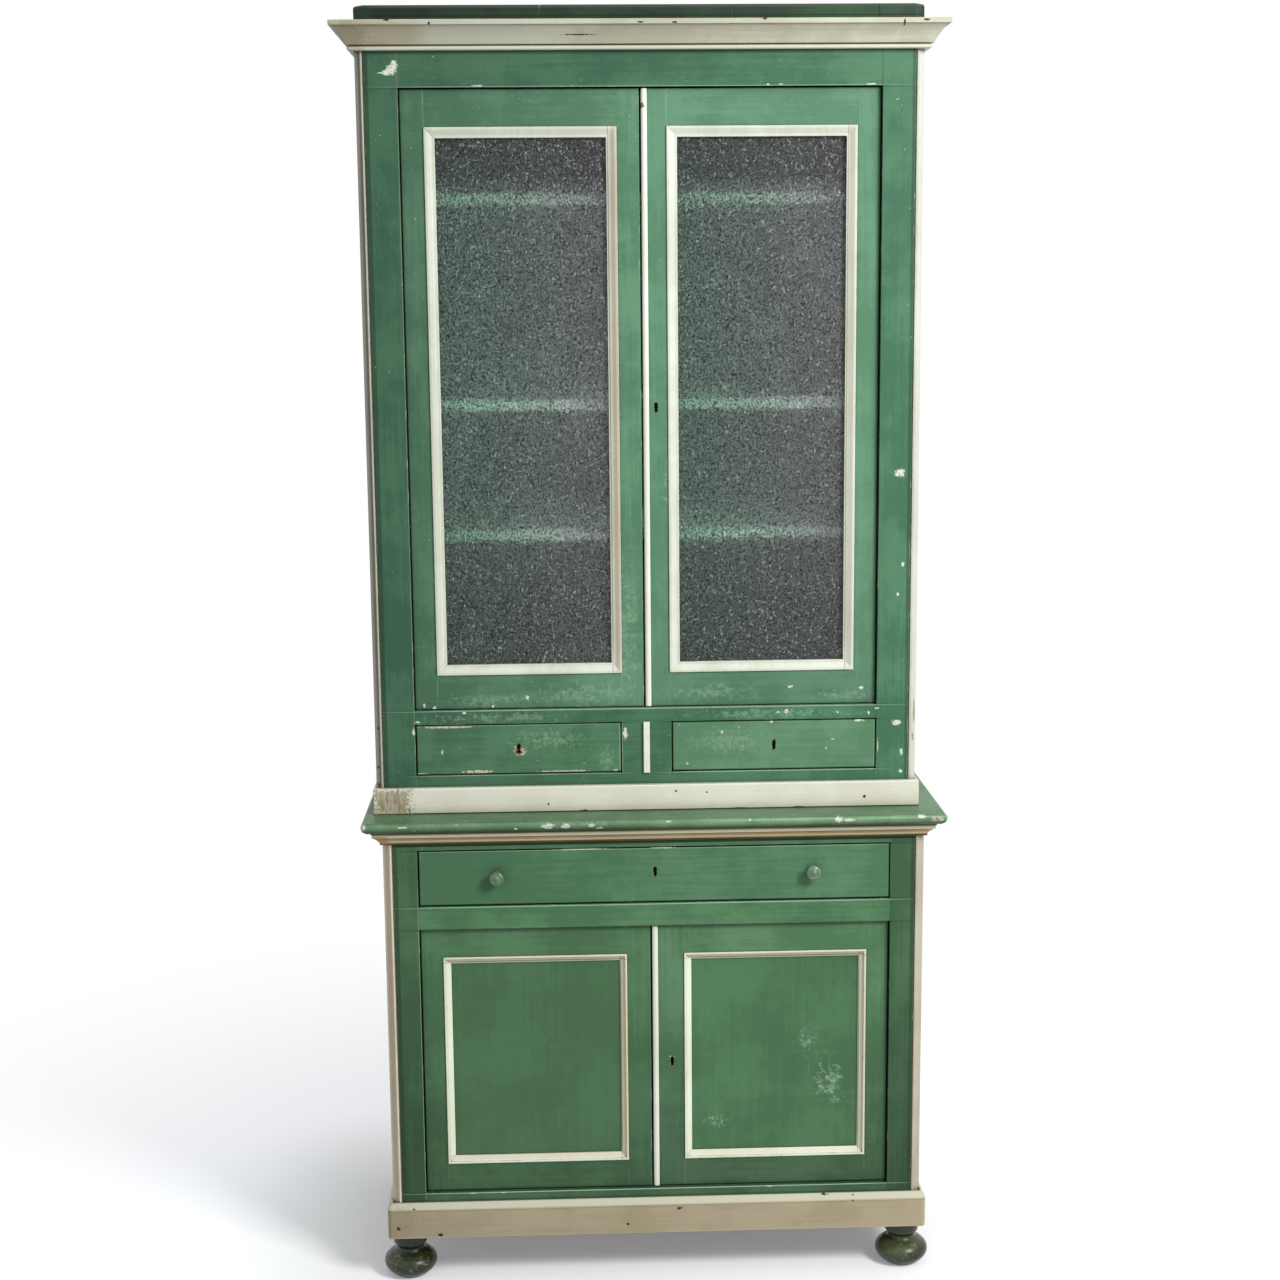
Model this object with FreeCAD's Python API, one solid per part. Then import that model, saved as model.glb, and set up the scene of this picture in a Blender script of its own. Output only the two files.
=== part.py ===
import FreeCAD, Part
import os

# A painted two-part cupboard: a low base with a big drawer and two panelled
# doors, and a glazed hutch that stands on its counter. All sizes are in
# millimetres. Each half is modelled with its own face at y = 0 and its own
# middle at x = 0, the floor is z = 0, and both are put in place when saved.

# Overall sizes of the two cases
case_width = 902.0
base_depth = 440.0
hutch_setback = 42.0
hutch_shift = -10.5

# Boards
board_thick = 18.0
back_thick = 10.0
back_board_count = 6
back_seam = 0.6
door_thick = 22.0
door_recess = 8.0
frame_thick = door_recess + door_thick

# Heights of the base, from the floor up
foot_height = 80.5
base_plinth_height = 61.0
sill_show = 15.5
base_door_open = 465.5
base_mid_rail = 39.0
big_drawer_open = 97.0
base_top_rail = 36.5
counter_thick = 18.0

# Heights of the hutch, from the counter up
hutch_bottom_rail = 62.0
small_drawer_open = 86.5
hutch_mid_rail = 23.0
hutch_door_open = 1001.0
hutch_top_rail = 99.5
top_board_thick = 26.5

# Widths across the front
base_cant = 17.0
hutch_cant = 14.0
base_stile = 40.5
hutch_stile = 53.0
drawer_post_width = 82.6
post_quirk_width = 1.8
post_quirk_depth = 2.5
post_bead = 3.0
post_set_back = 0.8

# Counter, with its rounded edge and the moulding under it
counter_over_front = 36.0
counter_over_side = 31.0
counter_corner_round = 7.0
nose_round = 6.0
nose_under_reach = 10.0
nose_under_middle = 3.6
nose_under_middle_height = 4.6
under_reach = 16.5
under_height = 25.0
under_fillet = 4.5
under_step = 1.7
under_band = 6.0
under_hollow = 1.0
under_foot = 3.0
under_foot_height = 3.0

# Cornice round the top of the hutch, from its bottom bead to its top fillet
cornice_reach = 35.0
cornice_height = 43.5
cornice_top_fillet = 8.0
cornice_step = 3.0
cornice_slope_foot = 12.0
cornice_slope_bottom = 8.4
cornice_hollow = 1.2
cornice_bead_reach = 9.5
cornice_bead_height = 7.0
cornice_foot = 5.5
top_board_seams_share = (0.324, 0.662)
top_seam = 0.5
top_edge_round = 5.0

# Plinth boards
base_plinth_front = 10.0
base_plinth_side = 8.5
base_plinth_bevel_height = 11.5
base_plinth_bevel_top_share = 0.2
base_plinth_round = 8.0
hutch_plinth_height = 43.0
hutch_plinth_front = 12.0
hutch_plinth_side = 4.0
plinth_chamfer = 1.5

# Turned feet
foot_radius = 45.0
foot_sole_radius = 29.0
foot_waist_height = 21.0
foot_ball_top = 40.0
foot_ball_top_radius = 33.0
foot_neck_height = 48.5
foot_neck_radius = 22.0
foot_collar_height = 57.0
foot_collar_radius = 28.5
foot_top_radius = 29.5
foot_dowel_radius = 12.0
foot_dowel_length = 38.0
foot_inset_side = 25.5
foot_inset_front = 36.0
foot_inset_back = 48.0
foot_block_size = 66.0
dowel_fit = 0.1

# Gaps round what opens, and running clearances
door_side_gap = 1.2
door_end_gap = 2.0
meeting_gap = 3.2
drawer_gap = 2.2
slide_gap = 0.3
guide_gap = 0.5
stop_gap = 0.3

# Glazed doors of the hutch
hutch_meeting_x = -2.3
hutch_light_inner = 39.6
hutch_hinge_stile = 37.4
hutch_door_bottom_rail = 56.5
hutch_door_top_rail = 58.0
glass_thick = 3.0
glass_set_back = 9.0
glass_edge_gap = 0.4
glass_mould_width = 17.0
glass_mould_proud = 2.0
glass_mould_bead = 4.0
glass_mould_lip = 4.5
glass_mould_lip_depth = 3.5
glass_bead_width = 9.0

# Panelled doors of the base
base_meeting_x = -7.0
base_light_inner = 48.0
base_hinge_stile = 37.3
base_door_bottom_rail = 47.5
base_door_top_rail = 49.0
panel_thick = 9.0
panel_set_back = 7.0
panel_tongue = 8.0
panel_mould_width = 12.5
panel_mould_proud = 2.0
panel_mould_bead = 3.5
panel_mould_lip = 1.5

# Door strips and the short strip between the small drawers
strip_width = 9.5
strip_proud = 4.0
strip_round_share = 0.45
centre_strip_width = 10.4
centre_strip_thick = 4.0

# Door pivots: a pin in the rail above and below each door
pin_radius = 3.0
pin_fit = 0.05
pin_inset = 7.0
pin_back = 5.0
pin_in_rail = 14.0
pin_in_door = 12.0
pin_end_gap = 1.0
collar_radius = 4.8
hinge_edge_round = 2.0

# Drawers
drawer_recess = 1.5
drawer_front_thick = 22.0
drawer_front_round = 2.0
small_side_thick = 10.0
small_side_height = 74.0
small_drawer_back_gap = 34.5
small_bottom_thick = 5.0
big_side_thick = 12.0
big_side_height = 85.0
big_drawer_back_gap = 16.5
big_bottom_thick = 6.0
bottom_lift = 8.0
bottom_groove = 4.0
drawer_back_drop = 8.0
stop_width = 30.0
stop_depth = 14.0
stop_height = 6.5

# Knobs of the big drawer
knob_spacing = 526.0
knob_height = 50.2
knob_radius = 12.6
knob_length = 22.0
knob_neck_radius = 7.2
knob_neck_length = 6.0
knob_collar_radius = 9.5
knob_collar_length = 2.5
knob_crown = 6.0
knob_spigot_radius = 5.0
knob_spigot_fit = 0.05
knob_button_share = 0.25

# Shelves and what carries them
shelf_front_clear = 30.0
hutch_shelf_tops_share = (0.2925, 0.5075, 0.8395)
base_shelf_top_share = 0.5
batten_width = 20.0
batten_height = 20.0
guide_height = 20.0
guide_width = 18.0
door_stop_width = 80.0
door_stop_size = 12.0

# Keyholes: two round ends joined by a waist
keyhole_lobe_radius = 2.9
keyhole_height = 16.0
keyhole_waist = 4.2
drawer_keyhole_drop = 41.0
hutch_keyhole_x = 20.1
hutch_keyhole_height = 496.0
base_keyhole_x = 27.0
base_keyhole_height = 223.5

# Drawer locks, let into the back of the drawer fronts
drawer_lock_width = 44.0
drawer_lock_height = 52.0
drawer_lock_depth = 10.0
drawer_bolt_width = 20.0
drawer_bolt_thick = 3.0
drawer_bolt_height = 27.0
drawer_bolt_throw = 9.0
drawer_bolt_back = 3.5
bolt_play = 0.3
slot_play = 1.0

# Door locks, screwed to the back of the right doors
door_lock_edge = 2.0
door_lock_margin = 14.0
door_lock_height = 68.0
door_lock_depth = 12.0
door_bolt_height = 11.0
door_bolt_thick = 5.0
door_bolt_throw = 12.0
door_bolt_hold = 14.0
door_bolt_front = 3.0

# Sliding bolts on the back of the left doors
rod_radius = 4.0
rod_length = 78.0
rod_drop = 3.0
rod_fit = 0.05
rod_stand = 5.0
rod_knob_radius = 3.0
rod_knob_length = 9.0
plate_width = 24.0
plate_thick = 2.0
plate_length = 88.0
plate_drop = 6.0
rod_guide_width = 15.0
rod_guide_height = 9.0
rod_guide_depth = 10.5
rod_guide_edge = 5.0

# Angles
full_turn = 360
diagonal_share = 2 ** -0.5

# Levels and positions worked out from the sizes above
case_half = case_width / 2
inner_half = case_half - board_thick
hutch_depth = base_depth - hutch_setback
base_open_half = case_half - base_cant - base_stile
hutch_open_half = case_half - hutch_cant - hutch_stile
drawer_post_half = drawer_post_width / 2

base_plinth_top = foot_height + base_plinth_height
base_door_low = base_plinth_top + sill_show
base_door_high = base_door_low + base_door_open
big_drawer_low = base_door_high + base_mid_rail
big_drawer_high = big_drawer_low + big_drawer_open
counter_low = big_drawer_high + base_top_rail
counter_top = counter_low + counter_thick

small_drawer_low = counter_top + hutch_bottom_rail
small_drawer_high = small_drawer_low + small_drawer_open
hutch_door_low = small_drawer_high + hutch_mid_rail
hutch_door_high = hutch_door_low + hutch_door_open
hutch_top = hutch_door_high + hutch_top_rail
top_boards_high = hutch_top + top_board_thick

door_back = door_recess + door_thick
drawer_front_back = drawer_recess + drawer_front_thick
big_drawer_length = base_depth - back_thick - big_drawer_back_gap - drawer_front_back
small_drawer_length = hutch_depth - back_thick - small_drawer_back_gap - drawer_front_back
shelf_front = door_back + shelf_front_clear
cornice_half = case_half + cornice_reach
counter_half = case_half + counter_over_side

far_left = min(hutch_shift - cornice_half, -counter_half)
far_right = max(hutch_shift + cornice_half, counter_half)
base_x = -(far_left + far_right) / 2
face_y = -(base_depth - counter_over_front) / 2
base_place = FreeCAD.Vector(base_x, face_y, 0)
hutch_place = FreeCAD.Vector(base_x + hutch_shift, face_y + hutch_setback, 0)

up = FreeCAD.Vector(0, 0, 1)
across = FreeCAD.Vector(1, 0, 0)
backward = FreeCAD.Vector(0, 1, 0)


def block(x0, x1, y0, y1, z0, z1):
    """A straight board between two corners."""
    corner = FreeCAD.Vector(x0, y0, z0)
    return Part.makeBox(x1 - x0, y1 - y0, z1 - z0, corner)


def rod(radius, length, x, y, z, along):
    """A round bar that starts at a point and runs along a direction."""
    return Part.makeCylinder(radius, length, FreeCAD.Vector(x, y, z), along)


def mirrored(shape):
    """The same shape on the other side of the middle."""
    return shape.mirror(FreeCAD.Vector(0, 0, 0), across)


def both_sides(shape):
    """A right-hand shape and its left-hand twin."""
    return [shape, mirrored(shape)]


def closed_face(steps, place):
    """The face inside an outline. A step is a corner, or a middle and an end for an arc."""
    edges = []
    at = place(*steps[0])
    for step in steps[1:] + [steps[0]]:
        if isinstance(step[0], tuple):
            middle = place(*step[0])
            end = place(*step[1])
            edges.append(Part.Arc(at, middle, end).toShape())
        else:
            end = place(*step)
            edges.append(Part.LineSegment(at, end).toShape())
        at = end
    return Part.Face(Part.Wire(edges))


def turned(steps, centre, along):
    """A turned piece: an outline of (radius, distance) spun round a line through a point."""
    side = across
    face = closed_face(steps, lambda r, h: centre + side * r + along * h)
    return face.revolve(centre, along, full_turn)


def plan_prism(corners, low, high):
    """An upright prism over corners given as (x, y)."""
    face = closed_face(corners, lambda x, y: FreeCAD.Vector(x, y, low))
    return face.extrude(up * (high - low))


def surround(steps, half, back, reach_front, reach_side, low, high):
    """Mitred front and side runs of a moulding round a case. Steps are (out, z)."""
    side_share = reach_side / reach_front
    wide = half + reach_side
    front_face = closed_face(steps, lambda out, z: FreeCAD.Vector(-wide, -out, z))
    front_plan = [(-half, 0), (-wide, -reach_front), (wide, -reach_front), (half, 0)]
    front = front_face.extrude(across * (2 * wide)).common(plan_prism(front_plan, low, high))
    side_face = closed_face(
        steps, lambda out, z: FreeCAD.Vector(half + out * side_share, -reach_front, z))
    side_plan = [(half, 0), (wide, -reach_front), (wide, back), (half, back)]
    side = side_face.extrude(backward * (back + reach_front)).common(plan_prism(side_plan, low, high))
    return front.Solids + side.Solids + mirrored(side).Solids


def picture_frame(steps, x0, x1, z0, z1, width, front, back):
    """Four mitred runs inside an opening. Steps are (in from the edge, y)."""
    pieces = []
    for edge, inward in ((z0, 1), (z1, -1)):
        face = closed_face(steps, lambda d, y: FreeCAD.Vector(x0, y, edge + inward * d))
        corners = [(x0, edge), (x1, edge), (x1 - width, edge + inward * width),
                   (x0 + width, edge + inward * width)]
        mitre = closed_face(corners, lambda x, z: FreeCAD.Vector(x, front, z))
        cutter = mitre.extrude(backward * (back - front))
        pieces += face.extrude(across * (x1 - x0)).common(cutter).Solids
    for edge, inward in ((x0, 1), (x1, -1)):
        face = closed_face(steps, lambda d, y: FreeCAD.Vector(edge + inward * d, y, z0))
        corners = [(edge, z0), (edge, z1), (edge + inward * width, z1 - width),
                   (edge + inward * width, z0 + width)]
        mitre = closed_face(corners, lambda x, z: FreeCAD.Vector(x, front, z))
        cutter = mitre.extrude(backward * (back - front))
        pieces += face.extrude(up * (z1 - z0)).common(cutter).Solids
    return pieces


def keyhole(x, z, y0, y1):
    """A keyhole cutter from y0 to y1, centred on x and z."""
    reach = keyhole_height / 2 - keyhole_lobe_radius
    top = rod(keyhole_lobe_radius, y1 - y0, x, y0, z + reach, backward)
    bottom = rod(keyhole_lobe_radius, y1 - y0, x, y0, z - reach, backward)
    waist = block(x - keyhole_waist / 2, x + keyhole_waist / 2, y0, y1, z - reach, z + reach)
    return top.fuse(waist).fuse(bottom)


def bored(solids, bores):
    """Each solid with every bore that meets it cut out."""
    left = []
    for solid in solids:
        for bore in bores:
            if solid.BoundBox.intersect(bore.BoundBox):
                solid = solid.cut(bore)
        left.append(solid)
    return left


def handed(side, shape):
    """A right-hand shape as it is, or its left-hand twin."""
    if side == "left":
        return mirrored(shape)
    return shape


def save(name, solids, place):
    """Write one node from its separate solids, moved to where its half stands."""
    whole = Part.makeCompound(solids)
    whole.translate(place)
    whole.exportStep("parts/" + name + ".step")
    print(name, len(whole.Solids), "solids", round(whole.Volume), "mm3")


def corner_post(cant, low, high):
    """The canted strip that makes the right front corner of a case."""
    inner = case_half - cant
    bead_start = inner + post_quirk_width
    bead_end = bead_start + post_bead
    corners = [(inner, post_quirk_depth), (bead_start, post_quirk_depth),
               (bead_start, post_set_back), (bead_end, post_set_back),
               (case_half, post_set_back + case_half - bead_end), (case_half, frame_thick),
               (inner, frame_thick)]
    return plan_prism(corners, low, high)


def back_boards(depth, low, high):
    """Upright boards side by side between the two sides of a case."""
    pitch = 2 * inner_half / back_board_count
    boards = []
    for number in range(back_board_count):
        left = -inner_half + number * pitch
        right = left + pitch
        if number < back_board_count - 1:
            right = right - back_seam
        boards.append(block(left, right, depth - back_thick, depth, low, high))
    return boards


def pivot_bores(outer, low, high):
    """Cutters for the pin holes at the top and bottom of a door, and through the rails."""
    x = outer - pin_inset
    y = door_recess + pin_back
    deep = pin_in_door + pin_end_gap
    radius = pin_radius + pin_fit
    door_low = low + door_end_gap
    door_high = high - door_end_gap
    door_bores = [rod(radius, deep, x, y, door_low, up), rod(radius, deep, x, y, door_high - deep, up)]
    rail_bores = [rod(radius, pin_in_rail, x, y, low - pin_in_rail, up),
                  rod(radius, pin_in_rail, x, y, high, up)]
    return door_bores, rail_bores


def pivot_pins(outer, low, high):
    """The lower pin with its collar, and the upper pin, for one right-hand door."""
    x = outer - pin_inset
    y = door_recess + pin_back
    length = pin_in_rail + door_end_gap + pin_in_door
    lower = rod(pin_radius, length, x, y, low - pin_in_rail, up)
    collar = rod(collar_radius, door_end_gap - slide_gap, x, y, low, up)
    upper = rod(pin_radius, length, x, y, high - door_end_gap - pin_in_door, up)
    return [lower.fuse(collar), upper]


def door_leaf(inner, outer, low, high, light_inner, hinge_stile, bottom_rail, top_rail):
    """Two stiles and two rails of a right-hand door, with the pin holes in its hinge stile."""
    door_low = low + door_end_gap
    door_high = high - door_end_gap
    light_outer = outer - hinge_stile
    bend = hinge_edge_round * (1 - diagonal_share)
    front = door_recess
    plan = [(light_outer, front), (outer - hinge_edge_round, front),
            ((outer - bend, front + bend), (outer, front + hinge_edge_round)),
            (outer, door_back), (light_outer, door_back)]
    hinge = plan_prism(plan, door_low, door_high)
    for bore in pivot_bores(outer, low, high)[0]:
        hinge = hinge.cut(bore)
    meeting = block(inner, light_inner, front, door_back, door_low, door_high)
    bottom = block(light_inner, light_outer, front, door_back, door_low, door_low + bottom_rail)
    top = block(light_inner, light_outer, front, door_back, door_high - top_rail, door_high)
    return [meeting, hinge, bottom, top]


def strip(left, low, high):
    """The upright half-round strip on the meeting edge of a right-hand door."""
    front = door_recess - strip_proud
    shoulder = door_recess - strip_proud * strip_round_share
    middle = left + strip_width / 2
    steps = [(left, door_recess), (left, shoulder), ((middle, front), (left + strip_width, shoulder)),
             (left + strip_width, door_recess)]
    return plan_prism(steps, low + door_end_gap, high - door_end_gap)


def door_lock(inner, keyhole_x, keyhole_z):
    """The lock case on the back of a right-hand door, and its bolt drawn back."""
    left = inner + door_lock_edge
    right = keyhole_x + door_lock_margin
    low = keyhole_z - door_lock_height / 2
    case = block(left, right, door_back, door_back + door_lock_depth, low, low + door_lock_height)
    bolt_y = door_back + door_bolt_front
    bolt_length = door_bolt_throw + door_bolt_hold
    bolt_low = keyhole_z + keyhole_height / 2 + door_bolt_thick
    bolt_high = bolt_low + door_bolt_height
    channel = block(left, left + bolt_length + bolt_play, bolt_y - bolt_play,
                    bolt_y + door_bolt_thick + bolt_play, bolt_low - bolt_play, bolt_high + bolt_play)
    bolt = block(left, left + bolt_length, bolt_y, bolt_y + door_bolt_thick, bolt_low, bolt_high)
    well = keyhole(keyhole_x, keyhole_z, door_back, door_back + door_lock_depth - plate_thick)
    return case.cut(channel).cut(well), bolt


def sliding_bolt(inner, light_inner, high):
    """Plate with two guides for the back of a right-hand door, and the rod that slides in them."""
    x = (inner + light_inner) / 2
    door_high = high - door_end_gap
    top = door_high - plate_drop
    back = door_back + plate_thick
    axis_y = back + rod_stand
    plate = block(x - plate_width / 2, x + plate_width / 2, door_back, back, top - plate_length, top)
    hole = rod(rod_radius + rod_fit, plate_length, x, axis_y, top - plate_length, up)
    for guide_top in (top - rod_guide_edge, top - plate_length + rod_guide_edge + rod_guide_height):
        guide = block(x - rod_guide_width / 2, x + rod_guide_width / 2, back, back + rod_guide_depth,
                      guide_top - rod_guide_height, guide_top)
        plate = plate.fuse(guide)
    plate = plate.cut(hole).removeSplitter()
    bar = rod(rod_radius, rod_length, x, axis_y, door_high - rod_drop - rod_length, up)
    grip_z = door_high - rod_drop - rod_length / 2
    grip = rod(rod_knob_radius, rod_radius + rod_knob_length, x, axis_y, grip_z, backward)
    return plate, bar.fuse(grip).removeSplitter()


def drawer(inner, outer, low, high, side_thick, side_height, length, bottom_thick, key_x):
    """Front, box, lock case and lock bolt of a drawer in an opening from inner to outer."""
    left = inner + drawer_gap
    right = outer - drawer_gap
    end = drawer_front_back + length
    side_low = low + slide_gap
    side_high = side_low + side_height
    floor_low = side_low + bottom_lift
    floor_high = floor_low + bottom_thick
    front = block(left, right, drawer_recess, drawer_front_back, low + drawer_gap, high - drawer_gap)
    rim = [edge for edge in front.Edges if edge.BoundBox.YMax < drawer_recess + drawer_front_round]
    front = front.makeFillet(drawer_front_round, rim)
    floor = block(left + side_thick - bottom_groove, right - side_thick + bottom_groove,
                  drawer_front_back - bottom_groove, end, floor_low, floor_high)
    sides = [block(left, left + side_thick, drawer_front_back, end, side_low, side_high).cut(floor),
             block(right - side_thick, right, drawer_front_back, end, side_low, side_high).cut(floor)]
    back = block(left + side_thick, right - side_thick, end - side_thick, end,
                 floor_high, side_high - drawer_back_drop)
    lock_left = key_x - drawer_lock_width / 2
    lock_right = key_x + drawer_lock_width / 2
    lock_top = high - drawer_gap
    lock_front = drawer_front_back - drawer_lock_depth
    case = block(lock_left, lock_right, lock_front, drawer_front_back,
                 lock_top - drawer_lock_height, lock_top)
    key_z = lock_top - drawer_keyhole_drop
    front = front.cut(floor).cut(case).cut(keyhole(key_x, key_z, drawer_recess, lock_front))
    bolt_y = lock_front + drawer_bolt_back
    bolt_half = drawer_bolt_width / 2
    bolt = block(key_x - bolt_half, key_x + bolt_half, bolt_y, bolt_y + drawer_bolt_thick,
                 lock_top - drawer_bolt_height, lock_top)
    channel = block(key_x - bolt_half - bolt_play, key_x + bolt_half + bolt_play, bolt_y - bolt_play,
                    bolt_y + drawer_bolt_thick + bolt_play,
                    lock_top - drawer_bolt_height - bolt_play, lock_top)
    well = keyhole(key_x, key_z, lock_front, drawer_front_back - plate_thick)
    return front, sides + [back, floor], case.cut(channel).cut(well), bolt


def strike_slot(key_x, high):
    """The slot in the rail over a drawer that its bolt goes up into."""
    half = drawer_bolt_width / 2 + slot_play
    middle = drawer_front_back - drawer_lock_depth + drawer_bolt_back
    return block(key_x - half, key_x + half, middle - slot_play,
                 middle + drawer_bolt_thick + slot_play, high, high + drawer_bolt_throw + slot_play)


def knob(x, z):
    """A turned knob with its spigot through the drawer front."""
    root = FreeCAD.Vector(x, drawer_recess, z)
    forward = FreeCAD.Vector(0, -1, 0)
    ball_start = knob_collar_length + knob_neck_length
    ball_mid = (ball_start + knob_length - knob_crown) / 2
    steps = [(0, -drawer_front_thick), (knob_spigot_radius, -drawer_front_thick),
             (knob_spigot_radius, 0), (knob_collar_radius, 0), (knob_collar_radius, knob_collar_length),
             (knob_neck_radius, knob_collar_length + knob_neck_length / 2),
             (knob_neck_radius, ball_start),
             ((knob_radius, ball_mid), (knob_collar_radius, knob_length - knob_crown / 2)),
             (knob_neck_radius, knob_length - knob_crown * knob_button_share), (0, knob_length)]
    return turned(steps, root, forward)


def foot(x, y):
    """A turned bun foot with the dowel that holds it in its block."""
    steps = [(0, 0), (foot_sole_radius, 0),
             ((foot_radius, foot_waist_height), (foot_ball_top_radius, foot_ball_top)),
             ((foot_neck_radius, foot_neck_height), (foot_collar_radius, foot_collar_height)),
             (foot_top_radius, foot_height),
             (foot_dowel_radius, foot_height),
             (foot_dowel_radius, foot_height + foot_dowel_length), (0, foot_height + foot_dowel_length)]
    return turned(steps, FreeCAD.Vector(x, y, 0), up)


os.makedirs("parts", exist_ok=True)

# Turned feet, and the bores that their dowels need in the case
foot_x = case_half - foot_inset_side
foot_front_y = foot_inset_front
foot_back_y = base_depth - foot_inset_back
feet = []
foot_bores = []
for foot_y in (foot_front_y, foot_back_y):
    feet += both_sides(foot(foot_x, foot_y))
    foot_bores += both_sides(rod(foot_dowel_radius + dowel_fit, foot_dowel_length + dowel_fit,
                                 foot_x, foot_y, foot_height, up))
save("bun_feet", feet, base_place)

# Base case: sides, back, floor, shelf and dust board
back_inside = base_depth - back_thick
base_side = block(inner_half, case_half, frame_thick, base_depth, foot_height, counter_low)
save("base_sides", bored(both_sides(base_side), foot_bores), base_place)
save("base_back_boards", back_boards(base_depth, foot_height, counter_low), base_place)
save("base_floor", [block(-inner_half, inner_half, frame_thick, back_inside,
                          base_door_low - board_thick, base_door_low)], base_place)
base_shelf_z = base_door_low + base_door_open * base_shelf_top_share
save("base_shelf", [block(-inner_half, inner_half, shelf_front, back_inside,
                          base_shelf_z - board_thick, base_shelf_z)], base_place)
save("base_dust_board", [block(-inner_half, inner_half, frame_thick, back_inside,
                               big_drawer_low - board_thick, big_drawer_low)], base_place)

# Base bearers: shelf battens, drawer guides and kickers, stops and foot blocks
base_guide_inner = base_open_half - drawer_gap + guide_gap
block_half = foot_block_size / 2
bearers = both_sides(block(inner_half - batten_width, inner_half, shelf_front, back_inside,
                           base_shelf_z - board_thick - batten_height, base_shelf_z - board_thick))
bearers += both_sides(block(base_guide_inner, inner_half, frame_thick, back_inside,
                            big_drawer_low, big_drawer_low + guide_height))
bearers += both_sides(block(base_open_half - guide_width, inner_half, frame_thick, back_inside,
                            big_drawer_high, counter_low))
stop_start = drawer_front_back + stop_gap
bearers += both_sides(block(base_open_half / 2, base_open_half / 2 + stop_width, stop_start,
                            stop_start + stop_depth, big_drawer_low, big_drawer_low + stop_height))
bearers.append(block(-door_stop_width / 2, door_stop_width / 2, door_back + stop_gap,
                     door_back + stop_gap + door_stop_size, base_door_low,
                     base_door_low + door_stop_size))
for near, far in ((frame_thick, foot_front_y + block_half), (foot_back_y - block_half, back_inside)):
    bearers += both_sides(block(foot_x - block_half, inner_half, near, far, foot_height,
                                base_door_low - board_thick))
save("base_bearers", bored(bearers, foot_bores), base_place)

# Base face frame: two stiles and three rails, with pin holes and a bolt slot
base_stile_board = block(base_open_half, case_half - base_cant, 0, frame_thick,
                         foot_height, counter_low)
bottom_rail = block(-base_open_half, base_open_half, 0, frame_thick, foot_height, base_door_low)
mid_rail = block(-base_open_half, base_open_half, 0, frame_thick, base_door_high, big_drawer_low)
top_rail = block(-base_open_half, base_open_half, 0, frame_thick, big_drawer_high, counter_low)
base_outer = base_open_half - door_side_gap
rail_bores = pivot_bores(base_outer, base_door_low, base_door_high)[1]
for bore in both_sides(rail_bores[0]):
    bottom_rail = bottom_rail.cut(bore)
for bore in both_sides(rail_bores[1]):
    mid_rail = mid_rail.cut(bore)
top_rail = top_rail.cut(strike_slot(0, big_drawer_high))
stiles = bored(both_sides(base_stile_board), foot_bores)
save("base_face_frame", stiles + [bottom_rail, mid_rail, top_rail], base_place)
posts = both_sides(corner_post(base_cant, foot_height, counter_low))
save("base_corner_posts", bored(posts, foot_bores), base_place)

# Plinth boards round the base, bevelled on top and rounded at the corners
bevel_top = base_plinth_front * base_plinth_bevel_top_share
plinth_steps = [(0, foot_height), (base_plinth_front, foot_height),
                (base_plinth_front, base_plinth_top - base_plinth_bevel_height),
                (bevel_top, base_plinth_top), (0, base_plinth_top)]
plinth_wide = case_half + base_plinth_side
envelope = block(-plinth_wide, plinth_wide, -base_plinth_front, base_depth + base_plinth_front,
                 foot_height, base_plinth_top)
corners = [edge for edge in envelope.Edges
           if edge.BoundBox.ZLength > base_plinth_front and edge.BoundBox.YMax < 0]
envelope = envelope.makeFillet(base_plinth_round, corners)
runs = surround(plinth_steps, case_half, base_depth, base_plinth_front, base_plinth_side,
                foot_height, base_plinth_top)
save("base_plinth", [run.common(envelope).Solids[0] for run in runs], base_place)

# Counter board: its nose is rounded above and cut back below, on the front and both ends
nose_bend = nose_round * (1 - diagonal_share)
nose_middle_z = counter_low + nose_under_middle_height


def nose_down(edge):
    """The outline of the nose from the top to the underside, for an edge at this distance out."""
    return [(edge - nose_round, counter_top),
            ((edge - nose_bend, counter_top - nose_bend), (edge, counter_top - nose_round)),
            ((edge - nose_under_middle, nose_middle_z), (edge - nose_under_reach, counter_low))]


front_nose = nose_down(counter_over_front) + [(-base_depth, counter_low), (-base_depth, counter_top)]
counter = closed_face(front_nose, lambda out, z: FreeCAD.Vector(-counter_half, -out, z))
counter = counter.extrude(across * (2 * counter_half))
end_nose = nose_down(counter_half) + [(0, counter_low), (0, counter_top)]
end_face = closed_face(end_nose, lambda out, z: FreeCAD.Vector(out, -counter_over_front, z))
half_board = end_face.extrude(backward * (base_depth + counter_over_front))
counter = counter.common(half_board.fuse(mirrored(half_board)).removeSplitter())
board = block(-counter_half, counter_half, -counter_over_front, base_depth, counter_low, counter_top)
uprights = [edge for edge in board.Edges if edge.BoundBox.ZLength > 0 and edge.BoundBox.YMax < 0
            and edge.BoundBox.XLength < counter_thick and edge.BoundBox.YLength < counter_thick]
counter = counter.common(board.makeFillet(counter_corner_round, uprights))
save("counter_top", counter.Solids, base_place)

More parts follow.
